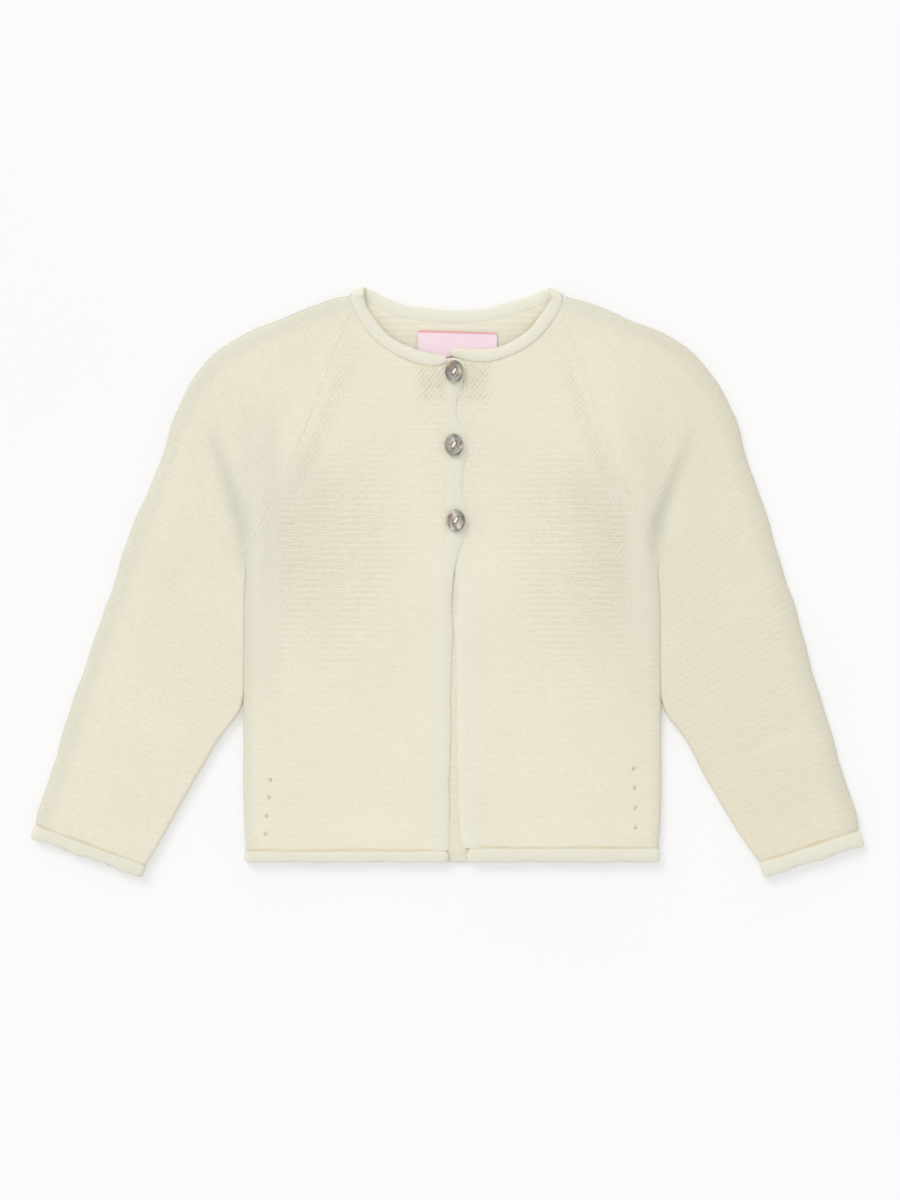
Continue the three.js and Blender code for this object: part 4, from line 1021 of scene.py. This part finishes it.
def button_disc(name, place, material, number):
    """A shell button: its face, then its rounded side down to the flat underside."""
    along, z0, lean = BUTTON["along"], BUTTON["base"], BUTTON["lean"]
    r = np.linspace(0, 1, 56)[:, None] ** 0.8
    angle = np.linspace(0, 2 * np.pi, 96, endpoint=False)[None, :]
    x = r * np.cos(angle) * along / 2
    y = r * np.sin(angle) * along / 2
    p = x * math.cos(lean) + y * math.sin(lean)
    q = -x * math.sin(lean) + y * math.cos(lean)
    top = button_top(r * along / 2, p, q)
    squeeze = BUTTON["across"] / along
    cap = spot(place[0] + x * squeeze, place[1] + y, z0 + top)
    side_r = np.array([1.0, 0.985, 0.93, 0.78, 0.0])[:, None]
    side_z = np.array([top[-1, 0], 0.75, 0.25, 0.0, 0.0])[:, None]
    centre = np.array([*place, 0.0])
    side = (cap[-1][None, :, :] - centre) * [1, 1, 0] * side_r[..., None] + centre
    side[..., 2] = z0 + side_z
    build = Build()
    u, v = number * 31, number * 17
    build.grid(cap, x + u, y + v, wrap=True)
    build.grid(side, x[-1:] * side_r + u, y[-1:] * side_r + v, flip=True, wrap=True)
    piece = build.finish(name, [material])
    # Painted sheen and shade patches at each point of the face
    grey_with_painted_sheen = painted_shell_sheen(x, y, SHELL_PATCHES[number - 1]).reshape(-1, 3)
    colours = np.tile(np.array([*SHELL_COLOURS["grey"], 1.0]), (build.count, 1))
    colours[:len(grey_with_painted_sheen), :3] = grey_with_painted_sheen
    attribute = piece.data.attributes.new("grey_with_painted_sheen", "FLOAT_COLOR", "POINT")
    attribute.data.foreach_set("color", colours.astype(np.float32).ravel())
    return piece


def button_thread(name, place, thread):
    """The thread from hole to hole, a few strands side by side, and its shank below."""
    build = Build()
    cord = {"centre": 0.0, "power": 2.0, "slot": 0, "sway": 0.0}
    squeeze = BUTTON["across"] / BUTTON["along"]
    cos, sin = math.cos(BUTTON["lean"]), math.sin(BUTTON["lean"])
    direction = np.array([cos * squeeze, sin])
    sideways = np.array([-sin * squeeze, cos])
    t = np.linspace(-1, 1, 17)
    lift = BUTTON["base"] + 1.8 + 0.72 * (1 - t**4) - 1.2 * np.abs(t) ** 8
    for k in range(4):
        spacing = (k - 1.5) * 0.42 * (1 - 0.35 * np.abs(t[:, None]))
        line = place + np.outer(t * 2.3, direction) + sideways * spacing
        sweep(build, np.column_stack([line, lift]), UP, np.array([*sideways, 0.0]), 0.46,
              half_height=0.24, start=-0.1, **cord)
    shank = np.column_stack([np.tile(place, (6, 1)), np.linspace(7.0, 9.4, 6)])
    sweep(build, shank, np.array([0.0, 1.0, 0.0]), np.array([1.0, 0.0, 0.0]), 1.8,
          half_height=0.9, start=-0.9, **cord)
    return build.finish(name, [thread])


def label_stitches(thread):
    """Small stitches along the label's top edge."""
    build = Build()
    t = np.linspace(-0.5, 0.5, 7)
    for k in range(20):
        x, y = label_place((k + 0.5) / 20, "top")
        y = y - 0.7
        z = label_face_z(x, y) + 0.12 + 0.12 * np.cos(np.pi * t)
        path = np.column_stack([x + 1.3 * t, np.full(7, y), z])
        sweep(build, path, UP, np.array([0.0, 1.0, 0.0]), 0.3, round_start=0.4, round_end=0.4,
              half_height=0.15, centre=0.0, power=2.0, start=-0.15, sway=0.0, slot=0)
    return build.finish("label_stitches", [thread])


# Materials

def linear(r, g, b):
    def channel(value):
        value /= 255
        return value / 12.92 if value <= 0.04045 else ((value + 0.055) / 1.055) ** 2.4
    return (channel(r), channel(g), channel(b), 1.0)


class Nodes:
    """A material's node tree, with short calls to add and join nodes."""

    def __init__(self, name):
        self.material = bpy.data.materials.new(name)
        self.material.use_nodes = True
        self.tree = self.material.node_tree
        self.shader = self.tree.nodes["Principled BSDF"]

    def give(self, socket, value):
        if isinstance(value, bpy.types.NodeSocket):
            self.tree.links.new(value, socket)
        else:
            socket.default_value = value

    def add(self, kind, inputs=None, **settings):
        node = self.tree.nodes.new(kind)
        for key, value in settings.items():
            setattr(node, key, value)
        for key, value in (inputs or {}).items():
            self.give(node.inputs[key], value)
        return node

    def finish(self, inputs):
        """Gives the shader its colours, normal and other values."""
        for key, value in inputs.items():
            self.give(self.shader.inputs[key], value)
        return self.material

    def place(self):
        return self.add("ShaderNodeTexCoord").outputs["Object"]

    def knit(self):
        return self.add("ShaderNodeUVMap", uv_map="knit").outputs["UV"]

    def attribute(self, name, output="Fac"):
        return self.add("ShaderNodeAttribute", attribute_name=name).outputs[output]

    def scaled(self, vector, scale, turn=0.0):
        inputs = {"Vector": vector, "Rotation": (0, 0, turn), "Scale": scale}
        return self.add("ShaderNodeMapping", inputs).outputs["Vector"]

    def mix(self, factor, a, b, blend="MIX"):
        sockets = {0: factor, 6: a, 7: b}
        return self.add("ShaderNodeMix", sockets, data_type="RGBA", blend_type=blend).outputs[2]

    def noise(self, vector, scale, detail=2.0, roughness=0.5):
        inputs = {"Vector": vector, "Scale": scale, "Detail": detail, "Roughness": roughness}
        return self.add("ShaderNodeTexNoise", inputs).outputs["Fac"]

    def spread(self, value, low, high, start=0.35, end=0.65):
        inputs = {"Value": value, "From Min": start, "From Max": end, "To Min": low, "To Max": high}
        return self.add("ShaderNodeMapRange", inputs).outputs["Result"]

    def bump(self, height, distance, strength, normal=None):
        inputs = {"Height": height, "Distance": distance, "Strength": strength}
        if normal is not None:
            inputs["Normal"] = normal
        return self.add("ShaderNodeBump", inputs).outputs["Normal"]


def wool(name, base, warm, ply, fuzz):
    """Cream wool: slight colour change from yarn to yarn, painted warm shade in creases and painted
    cool shade in hollows, plies and fuzz.
    """
    n = Nodes(name)
    place = n.place()
    cloudy = n.spread(n.noise(place, 14.0, 3.0), 0.0, 1.0)
    speckle = n.spread(n.noise(place, 520.0, 3.0, 0.7), 0.0, 0.55)
    pale = tuple(min(c * 1.035, 1.0) for c in base[:3]) + (1.0,)
    deep = (base[0] * 0.94, base[1] * 0.935, base[2] * 0.9, 1.0)
    colour = n.mix(speckle, n.mix(cloudy, pale, base), deep)
    # Painted shade from the mesh: cool grey in hollows, folds and edges, warm tan in creases, gaps
    # and where pieces touch
    colour = n.mix(n.attribute("cool"), colour, linear(214, 215, 200))
    colour = n.mix(n.attribute("warm"), colour, warm)
    plies = n.noise(n.scaled(n.knit(), ply), 1.0, 2.0, 0.6)
    fibres = n.noise(place, 2600.0, 3.0, 0.65)
    normal = n.bump(fibres, 0.00035, fuzz, n.bump(plies, 0.0006, 0.5))
    return n.finish({
        "Base Color": colour, "Normal": normal, "Roughness": 0.92, "Specular IOR Level": 0.2,
        "Sheen Weight": 0.22, "Sheen Roughness": 0.55, "Sheen Tint": (1.0, 0.98, 0.92, 1.0),
    })


def shell(name):
    """Grey mother-of-pearl with pale streaks, over painted sheen and shade in brown, violet and pale
    patches.
    """
    n = Nodes(name)
    knit = n.knit()
    warp = n.noise(knit, 9.0, 2.0)
    shift = n.add("ShaderNodeCombineXYZ", {
        "X": n.spread(warp, -0.03, 0.03), "Y": n.spread(warp, 0.02, -0.04)}).outputs[0]
    offset = n.add("ShaderNodeVectorMath", {0: knit, 1: shift}, operation="ADD").outputs[0]
    bands = n.noise(n.scaled(offset, (34.0, 13.0, 1.0), 0.7), 1.0, 3.0, 0.55)
    share = n.spread(bands, 0.0, 1.0, 0.38, 0.62)
    streak = n.mix(share, linear(176, 160, 160), linear(255, 255, 250))
    return n.finish({
        # Base colour: the painted sheen and shade patches times the shell's own streaks
        "Base Color": n.mix(0.85, n.attribute("grey_with_painted_sheen", "Color"), streak, "MULTIPLY"),
        "Normal": n.bump(bands, 0.0004, 0.3), "Roughness": 0.22, "Specular IOR Level": 0.6,
        "Coat Weight": 0.6, "Coat Roughness": 0.12,
    })


def thread_material(name, colour):
    """Twisted thread in one colour, darker in places."""
    n = Nodes(name)
    twist = n.noise(n.place(), 2200.0, 2.0)
    deep = tuple(c * 0.8 for c in colour[:3]) + (1.0,)
    return n.finish({
        "Base Color": n.mix(n.spread(twist, 0.0, 0.35), colour, deep),
        "Normal": n.bump(twist, 0.0003, 0.5), "Roughness": 0.7,
    })


def label_material():
    """Pink woven tape with a deeper pink line along its top edge."""
    n = Nodes("label_tape")
    knit = n.knit()
    y = n.add("ShaderNodeSeparateXYZ", {"Vector": knit}).outputs["Y"]
    weave = n.noise(n.scaled(knit, (160.0, 420.0, 1.0)), 1.0, 1.0)
    colour = n.mix(n.spread(weave, 0.0, 0.5), linear(250, 228, 238), linear(243, 213, 226))
    colour = n.mix(n.spread(y, 0.0, 0.8, 0.108, 0.116), colour, linear(240, 158, 158))
    return n.finish({
        "Base Color": colour, "Normal": n.bump(weave, 0.0002, 0.4), "Roughness": 0.6,
        "Sheen Weight": 0.3,
    })


def floor_material():
    """A pale lit table, so that shadows stay as light as in a bright studio."""
    n = Nodes("pale_floor")
    cloudy = n.spread(n.noise(n.place(), 3.0), 0.0, 1.0)
    return n.finish({
        "Base Color": n.mix(cloudy, linear(206, 206, 206), linear(204, 204, 205)),
        "Emission Color": (1.0, 1.0, 1.0, 1.0), "Emission Strength": FLOOR_GLOW,
        "Roughness": 0.9, "Specular IOR Level": 0.1,
    })


# Camera, light and floor

def add_camera():
    data = bpy.data.cameras.new("camera")
    data.lens = LENS
    data.sensor_width = SENSOR
    data.sensor_fit = "AUTO"
    data.clip_end = 20
    camera = add_object("camera", data)
    distance = PHOTO_HEIGHT * MM * LENS / SENSOR + TABLE_TO_CLOTH * MM
    camera.location = (LOOK_AT[0] * MM + SHIFT[0], LOOK_AT[1] * MM + SHIFT[1], distance)
    bpy.context.scene.camera = camera


def add_light():
    world = bpy.data.worlds.new("soft_studio")
    world.use_nodes = True
    background = world.node_tree.nodes["Background"]
    background.inputs["Color"].default_value = (1.0, 1.0, 1.0, 1.0)
    background.inputs["Strength"].default_value = SKY_STRENGTH
    bpy.context.scene.world = world
    sun = bpy.data.lights.new("key", "SUN")
    sun.energy = SUN_STRENGTH
    sun.angle = SUN_SPREAD
    sun.color = (1.0, 0.985, 0.96)
    add_object("key", sun).rotation_euler = SUN_TURN


def add_floor():
    mesh = bpy.data.meshes.new("floor")
    corners = [(FLOOR_HALF * x, FLOOR_HALF * y, 0) for x, y in ((-1, -1), (1, -1), (1, 1), (-1, 1))]
    mesh.from_pydata(corners, [], [(0, 1, 2, 3)])
    mesh.materials.append(floor_material())
    floor = add_object("floor", mesh)
    floor.location.z = FLOOR_Z


def make_pieces():
    cream = linear(241, 236, 217)
    # Tan of the painted shade in creases, gaps and where pieces touch
    warm = linear(214, 186, 138)
    knitted = wool("wool_garter", cream, warm, (110.0, 420.0, 1.0), 0.55)
    rolled = wool("wool_smooth", linear(240, 236, 220), warm, (420.0, 90.0, 1.0), 0.4)
    pearl = shell("shell_button")
    white = thread_material("white_thread", linear(246, 244, 238))
    pink = thread_material("pink_thread", linear(238, 170, 176))
    pieces = {}

    def piece(name, fill, materials, slot):
        build = Build()
        fill(build)
        made = build.finish(name + "_knit", materials)
        pieces[name] = made
        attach(made, "root")
        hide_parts(name)
        return made

    both = [knitted, rolled]
    piece("back", back_grid, both, "garter")
    piece("front_right", lambda b: front_grid(b, "left"), both, "garter")
    piece("front_left", lambda b: front_grid(b, "right"), both, "garter")
    piece("sleeve_right", lambda b: sleeve_grid(b, "left"), both, "garter")
    piece("sleeve_left", lambda b: sleeve_grid(b, "right"), both, "garter")
    piece("neck_roll", neck_piece, [rolled], "smooth")
    piece("band_right", lambda b: band_piece(b, True), [rolled], "smooth")
    piece("band_left", lambda b: band_piece(b, False), [rolled], "smooth")
    piece("label", label_piece, [label_material()], "label")
    stitches = label_stitches(pink)
    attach(stitches, "root")
    for k, place in enumerate(BUTTON_PLACES):
        name = f"button_{k + 1}"
        disc = button_disc(name + "_shell", np.array(place), pearl, k + 1)
        thread = button_thread(name + "_shell_thread", np.array(place), white)
        for made in (disc, thread):
            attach(made, "root")
        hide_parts(name)
    return pieces, stitches


bpy.context.scene.view_settings.view_transform = "Standard"
add_camera()
add_light()
add_floor()
PIECES, STITCHES = make_pieces()
